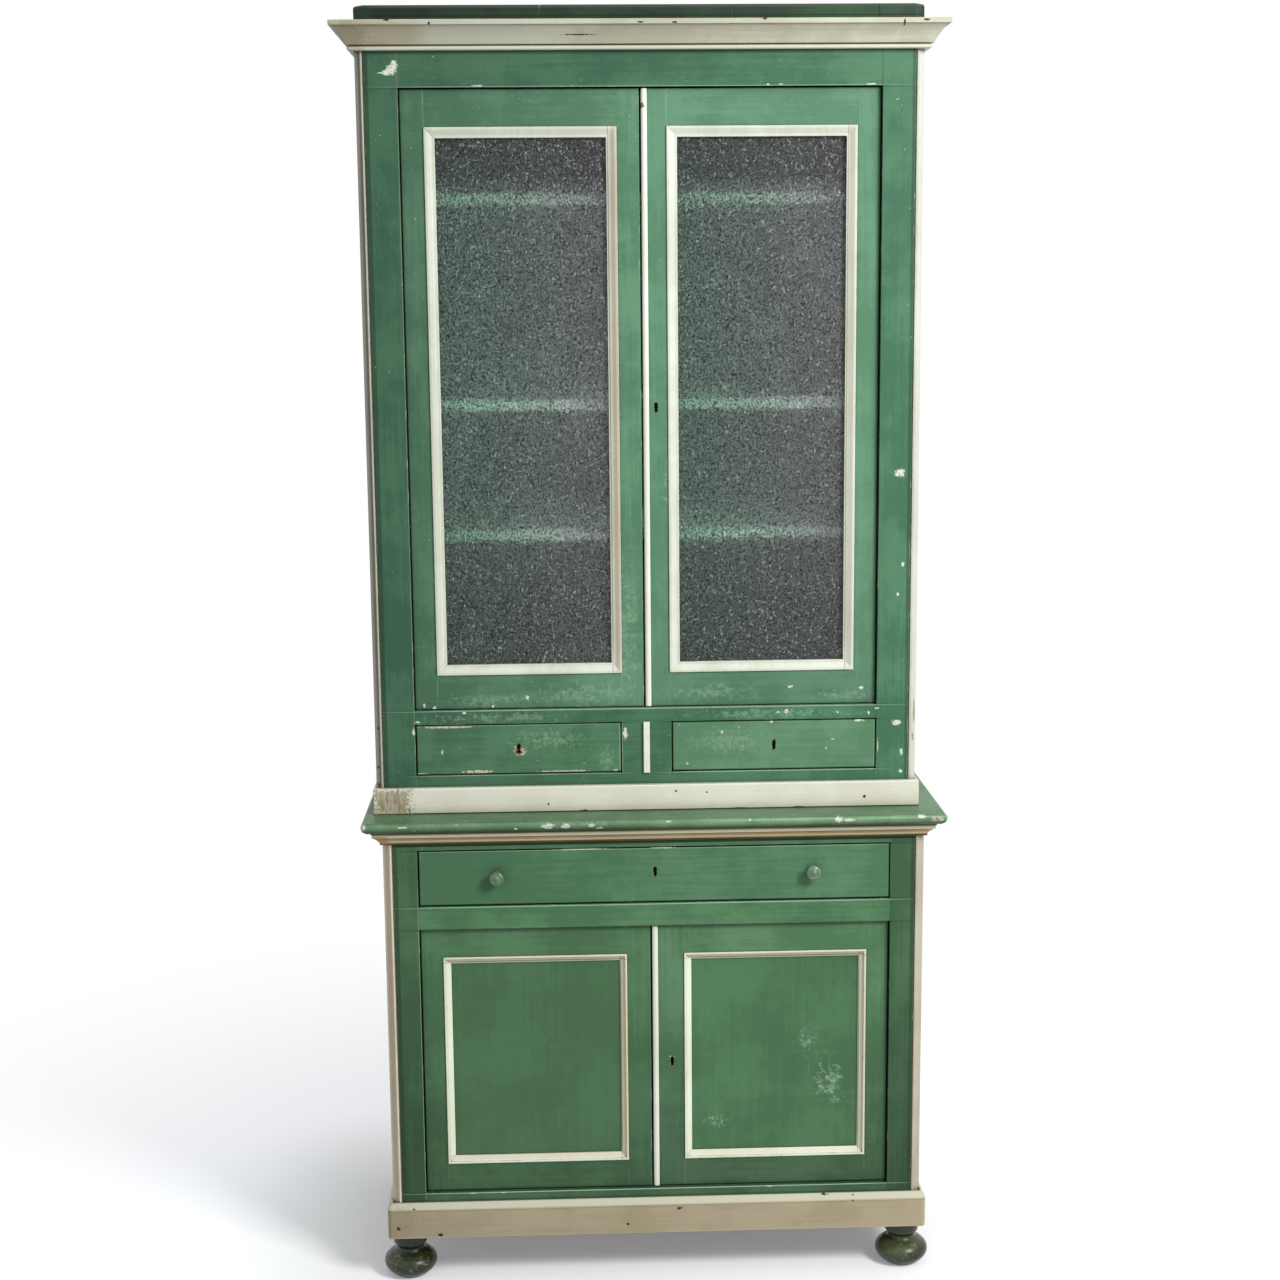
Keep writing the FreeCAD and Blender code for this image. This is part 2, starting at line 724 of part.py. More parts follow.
# Moulding under the counter: a fillet, a flat band, a hollow slope and a foot
under_low = counter_low - under_height
step_z = counter_low - under_fillet
band_out = under_reach - under_step
band_low = step_z - under_band
slope_end = under_low + under_foot_height
hollow_mid = ((band_out + under_foot) / 2 - under_hollow, (band_low + slope_end) / 2 + under_hollow)
under_steps = [(0, counter_low), (under_reach, counter_low), (under_reach, step_z),
               (band_out, step_z), (band_out, band_low), (hollow_mid, (under_foot, slope_end)),
               (under_foot, under_low), (0, under_low)]
save("counter_moulding", surround(under_steps, case_half, base_depth, under_reach, under_reach,
                                  under_low, counter_low), base_place)

# Doors of the base: panelled leaves, their mouldings, strip, lock and bolt
base_light_outer = base_outer - base_hinge_stile
base_light_low = base_door_low + door_end_gap + base_door_bottom_rail
base_light_high = base_door_high - door_end_gap - base_door_top_rail
panel_front = door_recess + panel_set_back
panel = block(base_light_inner - panel_tongue, base_light_outer + panel_tongue, panel_front,
              panel_front + panel_thick, base_light_low - panel_tongue, base_light_high + panel_tongue)
mould_front = door_recess - panel_mould_proud
panel_steps = [(0, panel_front), (0, mould_front), (panel_mould_bead, mould_front),
               (panel_mould_bead, door_recess), (panel_mould_width, panel_front - panel_mould_lip),
               (panel_mould_width, panel_front)]
panel_frame = picture_frame(panel_steps, base_light_inner, base_light_outer, base_light_low,
                            base_light_high, panel_mould_width, mould_front, panel_front)


base_right_inner = base_meeting_x + meeting_gap / 2
base_left_inner = -base_meeting_x + meeting_gap / 2
key_z = base_door_low + base_keyhole_height
for side, inner in (("right", base_right_inner), ("left", base_left_inner)):
    leaf = door_leaf(inner, base_outer, base_door_low, base_door_high, base_light_inner,
                     base_hinge_stile, base_door_bottom_rail, base_door_top_rail)
    leaf = [member.cut(panel) for member in leaf]
    if side == "right":
        leaf[0] = leaf[0].cut(keyhole(base_keyhole_x, key_z, door_recess, door_back))
    save("base_door_" + side + "_frame", [handed(side, member) for member in leaf], base_place)
    save("base_door_" + side + "_panel", [handed(side, panel)], base_place)
    save("base_door_" + side + "_moulding", [handed(side, run) for run in panel_frame], base_place)
save("base_door_strip", [strip(base_right_inner, base_door_low, base_door_high)], base_place)
lock_case, lock_bolt = door_lock(base_right_inner, base_keyhole_x, key_z)
save("base_door_lock", [lock_case], base_place)
save("base_door_lock_bolt", [lock_bolt], base_place)
plate, bolt_rod = sliding_bolt(base_left_inner, base_light_inner, base_door_high)
save("base_door_bolt_plate", [mirrored(plate)], base_place)
save("base_door_slide_bolt", [mirrored(bolt_rod)], base_place)

# Big drawer with its two knobs
big_front, big_box, big_lock, big_bolt = drawer(
    -base_open_half, base_open_half, big_drawer_low, big_drawer_high, big_side_thick,
    big_side_height, big_drawer_length, big_bottom_thick, 0)
knob_z = big_drawer_low + knob_height
for knob_x in (-knob_spacing / 2, knob_spacing / 2):
    big_front = big_front.cut(rod(knob_spigot_radius + knob_spigot_fit, drawer_front_thick,
                                  knob_x, drawer_recess, knob_z, backward))
save("big_drawer_front", [big_front], base_place)
save("big_drawer_box", big_box, base_place)
save("big_drawer_lock", [big_lock], base_place)
save("big_drawer_lock_bolt", [big_bolt], base_place)
save("big_drawer_knobs", [knob(-knob_spacing / 2, knob_z), knob(knob_spacing / 2, knob_z)], base_place)

# Hutch case: sides, back, dust boards, shelves and top boards
hutch_back_inside = hutch_depth - back_thick
save("hutch_sides", both_sides(block(inner_half, case_half, frame_thick, hutch_depth,
                                     counter_top, hutch_top)), hutch_place)
save("hutch_back_boards", back_boards(hutch_depth, counter_top, hutch_top), hutch_place)
save("hutch_dust_boards", [block(-inner_half, inner_half, frame_thick, hutch_back_inside,
                                 small_drawer_low - board_thick, small_drawer_low),
                           block(-inner_half, inner_half, frame_thick, hutch_back_inside,
                                 small_drawer_high, hutch_door_low)], hutch_place)
shelf_tops = [hutch_door_low + hutch_door_open * share for share in hutch_shelf_tops_share]
save("hutch_shelves", [block(-inner_half, inner_half, shelf_front, hutch_back_inside,
                             top - board_thick, top) for top in shelf_tops], hutch_place)

# Hutch bearers: shelf battens, drawer guides and stops, and the door stop
bearers = []
for top in shelf_tops:
    bearers += both_sides(block(inner_half - batten_width, inner_half, shelf_front, hutch_back_inside,
                                top - board_thick - batten_height, top - board_thick))
outer_guide = hutch_open_half - drawer_gap + guide_gap
inner_guide = drawer_post_half + drawer_gap - guide_gap
for near, far in ((outer_guide, outer_guide + guide_width), (inner_guide - guide_width, inner_guide)):
    bearers += both_sides(block(near, far, frame_thick, hutch_back_inside, small_drawer_low,
                                small_drawer_low + guide_height))
small_middle = (drawer_post_half + hutch_open_half) / 2
bearers += both_sides(block(small_middle - stop_width / 2, small_middle + stop_width / 2, stop_start,
                            stop_start + stop_depth, small_drawer_low,
                            small_drawer_low + stop_height))
bearers.append(block(-door_stop_width / 2, door_stop_width / 2, door_back + stop_gap,
                     door_back + stop_gap + door_stop_size, hutch_door_low,
                     hutch_door_low + door_stop_size))
save("hutch_bearers", bearers, hutch_place)

# Top boards laid side by side over the hutch, with canted corners and a worn top edge
top_front = [(-case_half, hutch_cant), (-case_half + hutch_cant, 0), (case_half - hutch_cant, 0),
             (case_half, hutch_cant), (case_half, hutch_depth), (-case_half, hutch_depth)]
whole_top = plan_prism(top_front, hutch_top, top_boards_high)
top_rim = [edge for edge in whole_top.Edges if edge.BoundBox.ZMin > hutch_top + top_edge_round
           and edge.BoundBox.YMin < hutch_depth - top_edge_round]
whole_top = whole_top.makeFillet(top_edge_round, top_rim)
seams = [-case_half + case_width * share for share in top_board_seams_share]
lefts = [-case_half] + [seam + top_seam / 2 for seam in seams]
rights = [seam - top_seam / 2 for seam in seams] + [case_half]
top_boards = [whole_top.common(block(left, right, 0, hutch_depth, hutch_top, top_boards_high)).Solids[0]
              for left, right in zip(lefts, rights)]
save("hutch_top_boards", top_boards, hutch_place)

# Hutch face frame: two stiles, three rails and the post between the small drawers
hutch_stile_board = block(hutch_open_half, case_half - hutch_cant, 0, frame_thick,
                          counter_top, hutch_top)
bottom_rail = block(-hutch_open_half, hutch_open_half, 0, frame_thick, counter_top, small_drawer_low)
mid_rail = block(-hutch_open_half, hutch_open_half, 0, frame_thick, small_drawer_high, hutch_door_low)
top_rail = block(-hutch_open_half, hutch_open_half, 0, frame_thick, hutch_door_high, hutch_top)
drawer_post = block(-drawer_post_half, drawer_post_half, 0, frame_thick,
                    small_drawer_low, small_drawer_high)
hutch_outer = hutch_open_half - door_side_gap
rail_bores = pivot_bores(hutch_outer, hutch_door_low, hutch_door_high)[1]
for bore in both_sides(rail_bores[0]):
    mid_rail = mid_rail.cut(bore)
for bore in both_sides(rail_bores[1]):
    top_rail = top_rail.cut(bore)
for slot in both_sides(strike_slot(small_middle, small_drawer_high)):
    mid_rail = mid_rail.cut(slot)
save("hutch_face_frame", both_sides(hutch_stile_board) + [bottom_rail, mid_rail, top_rail, drawer_post],
     hutch_place)
save("hutch_corner_posts", both_sides(corner_post(hutch_cant, counter_top, hutch_top)), hutch_place)
save("hutch_centre_strip", [block(-centre_strip_width / 2, centre_strip_width / 2, -centre_strip_thick,
                                  0, small_drawer_low, small_drawer_high)], hutch_place)

# Plinth boards round the foot of the hutch
hutch_plinth_top = counter_top + hutch_plinth_height
plinth_steps = [(0, counter_top), (hutch_plinth_front, counter_top),
                (hutch_plinth_front, hutch_plinth_top - plinth_chamfer),
                (hutch_plinth_front - plinth_chamfer, hutch_plinth_top), (0, hutch_plinth_top)]
save("hutch_plinth", surround(plinth_steps, case_half, hutch_depth, hutch_plinth_front,
                              hutch_plinth_side, counter_top, hutch_plinth_top), hutch_place)

# Cornice: a bead, a long slope with a slight hollow, and a top fillet
cornice_low = hutch_top - cornice_height
slope_top = hutch_top - cornice_top_fillet
slope_out = cornice_reach - cornice_step
slope_low = cornice_low + cornice_slope_bottom
bead_high = cornice_low + cornice_bead_height
bead_mid = (cornice_bead_reach, cornice_low + cornice_bead_height / 2)
slope_mid = ((slope_out + cornice_slope_foot) / 2 - cornice_hollow,
             (slope_top + slope_low) / 2 + cornice_hollow)
cornice_steps = [(0, hutch_top), (cornice_reach, hutch_top), (cornice_reach, slope_top),
                 (slope_out, slope_top), (slope_mid, (cornice_slope_foot, slope_low)),
                 (cornice_foot, slope_low), (cornice_foot, bead_high),
                 (bead_mid, (cornice_foot, cornice_low)), (0, cornice_low)]
save("cornice", surround(cornice_steps, case_half, hutch_depth, cornice_reach, cornice_reach,
                         cornice_low, hutch_top), hutch_place)

# Doors of the hutch: glazed leaves, glass, beads, strip, lock and bolt
hutch_light_outer = hutch_outer - hutch_hinge_stile
hutch_light_low = hutch_door_low + door_end_gap + hutch_door_bottom_rail
hutch_light_high = hutch_door_high - door_end_gap - hutch_door_top_rail
glass_front = door_recess + glass_set_back
glass_back = glass_front + glass_thick
glass = block(hutch_light_inner + glass_edge_gap, hutch_light_outer - glass_edge_gap, glass_front,
              glass_back, hutch_light_low + glass_edge_gap, hutch_light_high - glass_edge_gap)
mould_front = door_recess - glass_mould_proud
lip_front = mould_front + glass_mould_lip_depth
glass_steps = [(0, glass_front), (0, mould_front), (glass_mould_bead, mould_front),
               (glass_mould_width - glass_mould_lip, lip_front), (glass_mould_width, lip_front),
               (glass_mould_width, glass_front)]
beads = picture_frame(glass_steps, hutch_light_inner, hutch_light_outer, hutch_light_low,
                      hutch_light_high, glass_mould_width, mould_front, glass_front)
inside_steps = [(0, glass_back), (0, door_back), (glass_bead_width, door_back),
                (glass_bead_width, glass_back)]
beads += picture_frame(inside_steps, hutch_light_inner, hutch_light_outer, hutch_light_low,
                       hutch_light_high, glass_bead_width, glass_back, door_back)

hutch_right_inner = hutch_meeting_x + meeting_gap / 2
hutch_left_inner = -hutch_meeting_x + meeting_gap / 2
key_z = hutch_door_low + hutch_keyhole_height
for side, inner in (("right", hutch_right_inner), ("left", hutch_left_inner)):
    leaf = door_leaf(inner, hutch_outer, hutch_door_low, hutch_door_high, hutch_light_inner,
                     hutch_hinge_stile, hutch_door_bottom_rail, hutch_door_top_rail)
    if side == "right":
        leaf[0] = leaf[0].cut(keyhole(hutch_keyhole_x, key_z, door_recess, door_back))
    save("hutch_door_" + side + "_frame", [handed(side, member) for member in leaf], hutch_place)
    save("hutch_door_" + side + "_glass", [handed(side, glass)], hutch_place)
    save("hutch_door_" + side + "_beads", [handed(side, run) for run in beads], hutch_place)
save("hutch_door_strip", [strip(hutch_right_inner, hutch_door_low, hutch_door_high)], hutch_place)
lock_case, lock_bolt = door_lock(hutch_right_inner, hutch_keyhole_x, key_z)
save("hutch_door_lock", [lock_case], hutch_place)
save("hutch_door_lock_bolt", [lock_bolt], hutch_place)
plate, bolt_rod = sliding_bolt(hutch_left_inner, hutch_light_inner, hutch_door_high)
save("hutch_door_bolt_plate", [mirrored(plate)], hutch_place)
save("hutch_door_slide_bolt", [mirrored(bolt_rod)], hutch_place)

# Small drawers side by side
small_front, small_box, small_lock, small_bolt = drawer(
    drawer_post_half, hutch_open_half, small_drawer_low, small_drawer_high, small_side_thick,
    small_side_height, small_drawer_length, small_bottom_thick, small_middle)
save("small_drawer_right_front", [small_front], hutch_place)
save("small_drawer_right_box", small_box, hutch_place)
save("small_drawer_right_lock", [small_lock], hutch_place)
save("small_drawer_right_lock_bolt", [small_bolt], hutch_place)
save("small_drawer_left_front", [mirrored(small_front)], hutch_place)
save("small_drawer_left_box", [mirrored(piece) for piece in small_box], hutch_place)
save("small_drawer_left_lock", [mirrored(small_lock)], hutch_place)
save("small_drawer_left_lock_bolt", [mirrored(small_bolt)], hutch_place)

# Pivot pins of all four doors; the hutch's stand over the base's, a little to one side
pins = []
for pin in pivot_pins(base_outer, base_door_low, base_door_high):
    pins += both_sides(pin)
raised = []
for pin in pivot_pins(hutch_outer, hutch_door_low, hutch_door_high):
    raised += both_sides(pin)
for pin in raised:
    pin.translate(hutch_place - base_place)
save("door_pivots", pins + raised, base_place)
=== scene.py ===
# %% [markdown]
# # Dressing a painted hutch cupboard
#
# The cupboard is a country piece in two halves, painted green with cream
# mouldings. Its boards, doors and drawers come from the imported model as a
# fixed frame. This lesson gives them the paint, wear, glass and iron of the
# real one, turns its feet and knobs again with finer shapes, and adds the
# screws of its locks and bolts.

# %% Load the frame
from itertools import product
from math import radians

import bpy
from mathutils import Matrix, Vector


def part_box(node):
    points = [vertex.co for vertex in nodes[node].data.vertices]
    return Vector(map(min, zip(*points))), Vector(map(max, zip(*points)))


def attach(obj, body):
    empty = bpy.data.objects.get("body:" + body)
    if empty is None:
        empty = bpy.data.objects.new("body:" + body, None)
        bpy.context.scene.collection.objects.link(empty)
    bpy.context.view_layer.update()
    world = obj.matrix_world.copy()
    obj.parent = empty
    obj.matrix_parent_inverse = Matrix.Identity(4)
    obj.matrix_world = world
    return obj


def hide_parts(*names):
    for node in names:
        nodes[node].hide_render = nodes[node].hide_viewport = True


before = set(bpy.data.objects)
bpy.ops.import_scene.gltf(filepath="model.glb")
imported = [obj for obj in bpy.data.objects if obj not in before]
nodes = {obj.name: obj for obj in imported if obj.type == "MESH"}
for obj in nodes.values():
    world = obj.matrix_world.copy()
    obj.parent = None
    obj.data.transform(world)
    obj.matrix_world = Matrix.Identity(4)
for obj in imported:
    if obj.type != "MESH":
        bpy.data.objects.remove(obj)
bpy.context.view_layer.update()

# %% [markdown]
# ## The camera
#
# The photograph was taken by somebody standing a little left of the middle,
# looking slightly down. The place and lens were found by fitting a pinhole
# camera to the straight edges of the cupboard, so the camera is set by
# numbers and not by eye.

# %% Stand the camera where the photographer stood
turn_left = Matrix.Rotation(radians(-2.04), 4, "Z")
look_down = Matrix.Rotation(radians(90 - 9.48), 4, "X")
lean = Matrix.Rotation(radians(-0.51), 4, "Z")
bpy.ops.object.camera_add(
    location=(-0.13045, -3.4622, 1.6509),
    rotation=(turn_left @ look_down @ lean).to_euler(),
)
camera = bpy.context.object
camera.data.sensor_width = 36.0
camera.data.lens = 57.05
bpy.context.scene.camera = camera
print("camera at", tuple(camera.location))

# %% [markdown]
# ## A bench for shader nodes
#
# Materials here are graphs of shader nodes. They could be clicked together
# in the shader editor; in code a small helper keeps each step to one line.
# Colours are written as the 0 to 255 values a painter would read off a
# screen, and turned into the linear values that Blender works in.

# %% Helpers that place and join nodes


def tint(red, green, blue):
    """A screen colour as the linear colour that a shader takes."""
    shares = [value / 255 for value in (red, green, blue)]
    linear = [s / 12.92 if s < 0.04045 else ((s + 0.055) / 1.055) ** 2.4 for s in shares]
    return (*linear, 1.0)


class Bench:
    """Places nodes in one shader tree and joins them up."""

    def __init__(self, tree):
        self.tree = tree
        tree.nodes.clear()

    def put(self, kind, inputs=None, **settings):
        """Places a node, sets it up and joins its inputs."""
        made = self.tree.nodes.new("ShaderNode" + kind)
        for name, value in settings.items():
            setattr(made, name, value)
        for name, value in (inputs or {}).items():
            self.feed(made.inputs[name], value)
        return made

    def feed(self, socket, value):
        """Joins a socket to another, or writes a plain value on it."""
        if isinstance(value, bpy.types.NodeSocket):
            self.tree.links.new(value, socket)
        else:
            socket.default_value = value

    def sum(self, operation, first, second=0.0, clamp=False):
        """A sum on two numbers, by the name of its operation."""
        inputs = {0: first, 1: second}
        return self.put("Math", inputs, operation=operation, use_clamp=clamp).outputs[0]

    def vector(self, operation, first, second=(0.0, 0.0, 0.0)):
        """A sum on two vectors. A length or a dot product is a number."""
        made = self.put("VectorMath", {0: first, 1: second}, operation=operation)
        return made.outputs["Value" if operation in ("LENGTH", "DOT_PRODUCT") else "Vector"]

    def spread(self, value, low, high, to_low=0.0, to_high=1.0):
        """Stretches the part between low and high over a new range, softly."""
        inputs = {"Value": value, "From Min": low, "From Max": high}
        inputs.update({"To Min": to_low, "To Max": to_high})
        return self.put("MapRange", inputs, interpolation_type="SMOOTHSTEP").outputs["Result"]

    def blend(self, share, first, second, how="MIX"):
        """The share of the second colour laid over the first."""
        inputs = {0: share, 6: first, 7: second}
        return self.put("Mix", inputs, data_type="RGBA", blend_type=how).outputs[2]

    def noise(self, where, scale, detail=2.0, rough=0.5):
        """Soft noise round 0.5."""
        inputs = {"Vector": where, "Scale": scale, "Detail": detail, "Roughness": rough}
        return self.put("TexNoise", inputs).outputs[0]

    def stretched(self, where, x, y, z):
        """Places drawn out along the axis with the smallest number."""
        return self.vector("MULTIPLY", where, (x, y, z))


def start_group(name, takes, gives):
    """A node group with named sockets, and the bench to build it on."""
    tree = bpy.data.node_groups.new(name, "ShaderNodeTree")
    kinds = {"F": "NodeSocketFloat", "C": "NodeSocketColor", "V": "NodeSocketVector"}
    for socket, kind in takes.items():
        tree.interface.new_socket(socket, in_out="INPUT", socket_type=kinds[kind])
    for socket, kind in gives.items():
        tree.interface.new_socket(socket, in_out="OUTPUT", socket_type=kinds[kind])
    bench = Bench(tree)
    return bench, tree.nodes.new("NodeGroupInput").outputs


def end_group(bench, results):
    """Joins the results to the group's outputs."""
    out = bench.tree.nodes.new("NodeGroupOutput")
    for socket, value in results.items():
        bench.feed(out.inputs[socket], value)
    print("group:", bench.tree.name)
    return bench.tree


def use(bench, tree, inputs=None):
    """Places a finished group and returns its outputs."""
    made = bench.tree.nodes.new("ShaderNodeGroup")
    made.node_tree = tree
    for name, value in (inputs or {}).items():
        bench.feed(made.inputs[name], value)
    return made.outputs


def start_material(name):
    """A new material, and the bench to build it on."""
    made = bpy.data.materials.new(name)
    made.use_nodes = True
    return made, Bench(made.node_tree)


def finish_material(made, bench, values):
    """Joins the values to the material's own shader, and that to its output."""
    skin = bench.put("BsdfPrincipled", values)
    bench.put("OutputMaterial", {"Surface": skin.outputs["BSDF"]})
    print("material:", made.name, "nodes:", len(bench.tree.nodes))
    return made


def raise_bump(bench, height, distance, strength, normal=None):
    """A normal that stands up with the height. The distance is in metres."""
    inputs = {"Height": height, "Distance": distance, "Strength": strength}
    if normal is not None:
        inputs["Normal"] = normal
    return bench.put("Bump", inputs).outputs["Normal"]


# %% [markdown]
# ## Worn edges, and dirty and shaded corners
#
# Old paint wears off first where hands and cloths pass: on outer edges.
# Dirt stays where a cloth doesn't reach, in inner corners, and painted shade
# darkens the same corners. An edge is found by comparing the true normal
# with one that is rounded off by the Bevel node, a corner by how much of the
# sky it sees. The rounded normal also makes each arris catch the light as a
# real, softened one does, and the rim mask paints a thin pale line on it,
# partly the wear of years of polishing and partly a painted highlight.

# %% The worn edge group
bench, given = start_group(
    "worn edges",
    {"Radius": "F", "Amount": "F"},
    {"Worn": "F", "Bare": "F", "Rim Wear And Highlight": "F", "Corner Dirt And Shade": "F", "Normal": "V"},
)
place = bench.put("TexCoord").outputs["Object"]
rounded = bench.put("Bevel", {"Radius": given["Radius"]}, samples=6).outputs["Normal"]
straight = bench.put("NewGeometry").outputs["Normal"]
turned = bench.sum("SUBTRACT", 1.0, bench.vector("DOT_PRODUCT", rounded, straight))
open_air = bench.put("AmbientOcclusion", {"Distance": 0.025}, samples=6).outputs["AO"]
outer = bench.spread(open_air, 0.50, 0.80)
edge = bench.sum("MULTIPLY", bench.spread(turned, 0.01, 0.16), outer)
patchy = bench.noise(place, 34.0, 5.0, 0.7)
# Patches of polished wear and painted highlight along the rim
polish_and_highlight_patches = bench.spread(bench.noise(place, 16.0, 4.0, 0.65), 0.38, 0.62, 0.25, 1.0)
limit = bench.sum("SUBTRACT", 0.78, bench.sum("MULTIPLY", given["Amount"], 0.45))
worn_patch = bench.spread(bench.sum("SUBTRACT", patchy, limit), -0.03, 0.06)
bare_patch = bench.spread(bench.sum("SUBTRACT", patchy, limit), 0.10, 0.18)
# Dirt and painted shade: darker where a corner sees less of the sky
dirty = bench.spread(open_air, 0.95, 0.35)
worn_edges = end_group(
    bench,
    {
        "Worn": bench.sum("MULTIPLY", edge, worn_patch),
        "Bare": bench.sum("MULTIPLY", bench.spread(edge, 0.5, 1.0), bare_patch),
        "Rim Wear And Highlight": bench.sum("MULTIPLY", edge, polish_and_highlight_patches),
        "Corner Dirt And Shade": dirty,
        "Normal": rounded,
    },
)

# %% [markdown]
# ## Brushed paint
#
# The paint was put on by brush, along each board, and has faded in clouds
# since. The strokes are noise drawn out along the board. A frame has
# uprights and rails in one mesh, so the group asks where the rails are:
# between these the strokes lie flat, and outside them they stand. Its second
# half paints light and shade over the piece, lighter or darker from left to
# right, from low to high and on the uprights, and adds the flecks.

# %% Strokes and clouds of the brushed paint
bench, given = start_group(
    "brushed paint",
    {
        "Paint": "C", "Faded": "C", "Rail Middle": "F", "Rail Half": "F",
        "Left": "F", "Right": "F", "Low": "F", "High": "F", "From": "F", "To": "F",
        "Upright": "F", "Flecks": "F", "Clouds": "F",
    },
    {"Colour": "C", "Height": "F", "Flecks": "F", "Gloss": "F"},
)
place = bench.put("TexCoord").outputs["Object"]
parts = bench.put("SeparateXYZ", {0: place}).outputs
from_middle = bench.sum("ABSOLUTE", bench.sum("SUBTRACT", parts["X"], given["Rail Middle"]))
upright = bench.sum("GREATER_THAN", from_middle, given["Rail Half"])
standing = bench.noise(bench.stretched(place, 150.0, 150.0, 5.0), 1.0, 4.0, 0.65)
lying = bench.noise(bench.stretched(place, 5.0, 150.0, 150.0), 1.0, 4.0, 0.65)
strokes = bench.put("Mix", {0: upright, 2: lying, 3: standing}).outputs[0]
clouds = bench.noise(place, 6.5, 5.0, 0.62)
scrubbed = bench.noise(place, 42.0, 5.0, 0.7)
pores = bench.noise(place, 900.0, 2.0, 0.6)
mixed = bench.sum("MULTIPLY", clouds, given["Clouds"])
mixed = bench.sum("ADD", mixed, bench.sum("MULTIPLY", strokes, 0.35))
mixed = bench.sum("ADD", mixed, bench.sum("MULTIPLY", scrubbed, 0.25))
share = bench.sum("SUBTRACT", mixed, bench.sum("MULTIPLY", given["Clouds"], 0.5))
colour = bench.blend(bench.spread(share, 0.19, 0.42), given["Paint"], given["Faded"])
print("strokes and clouds, nodes:", len(bench.tree.nodes))

# %% Painted light and shade, flecks and the finished group
# Painted light and shade: the colour is multiplied from left to right, from low to high and on the uprights
across_x = bench.spread(parts["X"], -0.48, 0.48)
side = bench.put("Mix", {0: across_x, 2: given["Left"], 3: given["Right"]}).outputs[0]
up_z = bench.spread(parts["Z"], given["From"], given["To"])
painted_light_up = bench.put("Mix", {0: up_z, 2: given["Low"], 3: given["High"]}).outputs[0]
painted_shade_on_uprights = bench.put("Mix", {0: upright, 2: 1.0, 3: given["Upright"]}).outputs[0]
painted_shade = bench.sum("MULTIPLY", bench.sum("MULTIPLY", side, painted_light_up), painted_shade_on_uprights)
painted_shades = bench.put("CombineColor", {0: painted_shade, 1: painted_shade, 2: painted_shade}).outputs[0]
colour = bench.blend(1.0, colour, painted_shades, "MULTIPLY")
speck = bench.noise(place, 210.0, 2.0, 0.5)
where_specks = bench.noise(place, 15.0, 3.0, 0.6)
speck_limit = bench.sum("SUBTRACT", 0.84, bench.sum("MULTIPLY", where_specks, given["Flecks"]))
flecks = bench.spread(bench.sum("SUBTRACT", speck, speck_limit), 0.0, 0.04)
height = bench.sum("ADD", bench.sum("MULTIPLY", strokes, 0.7), bench.sum("MULTIPLY", pores, 0.18))
brushed_paint = end_group(
    bench,
    {
        "Colour": colour,
        "Height": bench.sum("SUBTRACT", height, bench.sum("MULTIPLY", flecks, 0.5)),
        "Flecks": flecks,
        "Gloss": bench.spread(mixed, 0.2, 0.9, 0.08, -0.08),
    },
)

# %% [markdown]
# ## Marks at named places
#
# Some marks sit where the photograph shows them: a knock beside a drawer, a
# nail in the plinth, a rubbed patch on a door. A mark lies on the front of
# the piece and is given by its middle and half sizes in metres. Its outline
# is an oval, or squarer with a higher corner power, torn by a noise that
# all the marks of one material share. The soft mask fades outwards instead,
# and the flat one has a plain edge, for thin lines along an arris.

# %% The mark group
bench, given = start_group(
    "mark",
    {
        "Place": "V", "Ragged": "F", "X": "F", "Z": "F",
        "Half Width": "F", "Half Height": "F", "Corners": "F",
    },
    {"Mask": "F", "Soft": "F", "Flat": "F"},
)
parts = bench.put("SeparateXYZ", {0: given["Place"]}).outputs
reach = None
for axis, middle, half in (("X", "X", "Half Width"), ("Z", "Z", "Half Height")):
    away = bench.sum("ABSOLUTE", bench.sum("SUBTRACT", parts[axis], given[middle]))
    away = bench.sum("POWER", bench.sum("DIVIDE", away, given[half]), given["Corners"])
    reach = away if reach is None else bench.sum("ADD", reach, away)
reach = bench.sum("POWER", reach, bench.sum("DIVIDE", 1.0, given["Corners"]))
torn = bench.sum("ADD", reach, bench.sum("MULTIPLY", given["Ragged"], 3.4))
mark = end_group(
    bench,
    {
        "Mask": bench.spread(torn, 2.82, 2.55), "Soft": bench.spread(reach, 1.5, 0.1),
        "Flat": bench.spread(reach, 1.25, 0.8),
    },
)

# %% Marks from a list


def marks_at(bench, place, places, corners=2.0, kind="Mask"):
    """One mask for all the marks in a list of (x, z, half width, half height)."""
    if not places:
        return 0.0
    ragged = bench.noise(place, 250.0, 4.0, 0.75) if kind == "Mask" else 0.0
    mask = None
    for x, z, wide, high in places:
        inputs = {"Place": place, "Ragged": ragged, "X": x, "Z": z, "Corners": corners}
        inputs.update({"Half Width": wide, "Half Height": high})
        one = use(bench, mark, inputs)[kind]
        mask = one if mask is None else bench.sum("MAXIMUM", mask, one)
    return mask


# %% [markdown]
# ## Scuffs and scratches
#
# Brooms, chairs and keys leave pale dust in the paint: fine mottling and
# thin scratches, thick in some places and hardly there in others. The group
# draws them all over, and the amount says where they show.

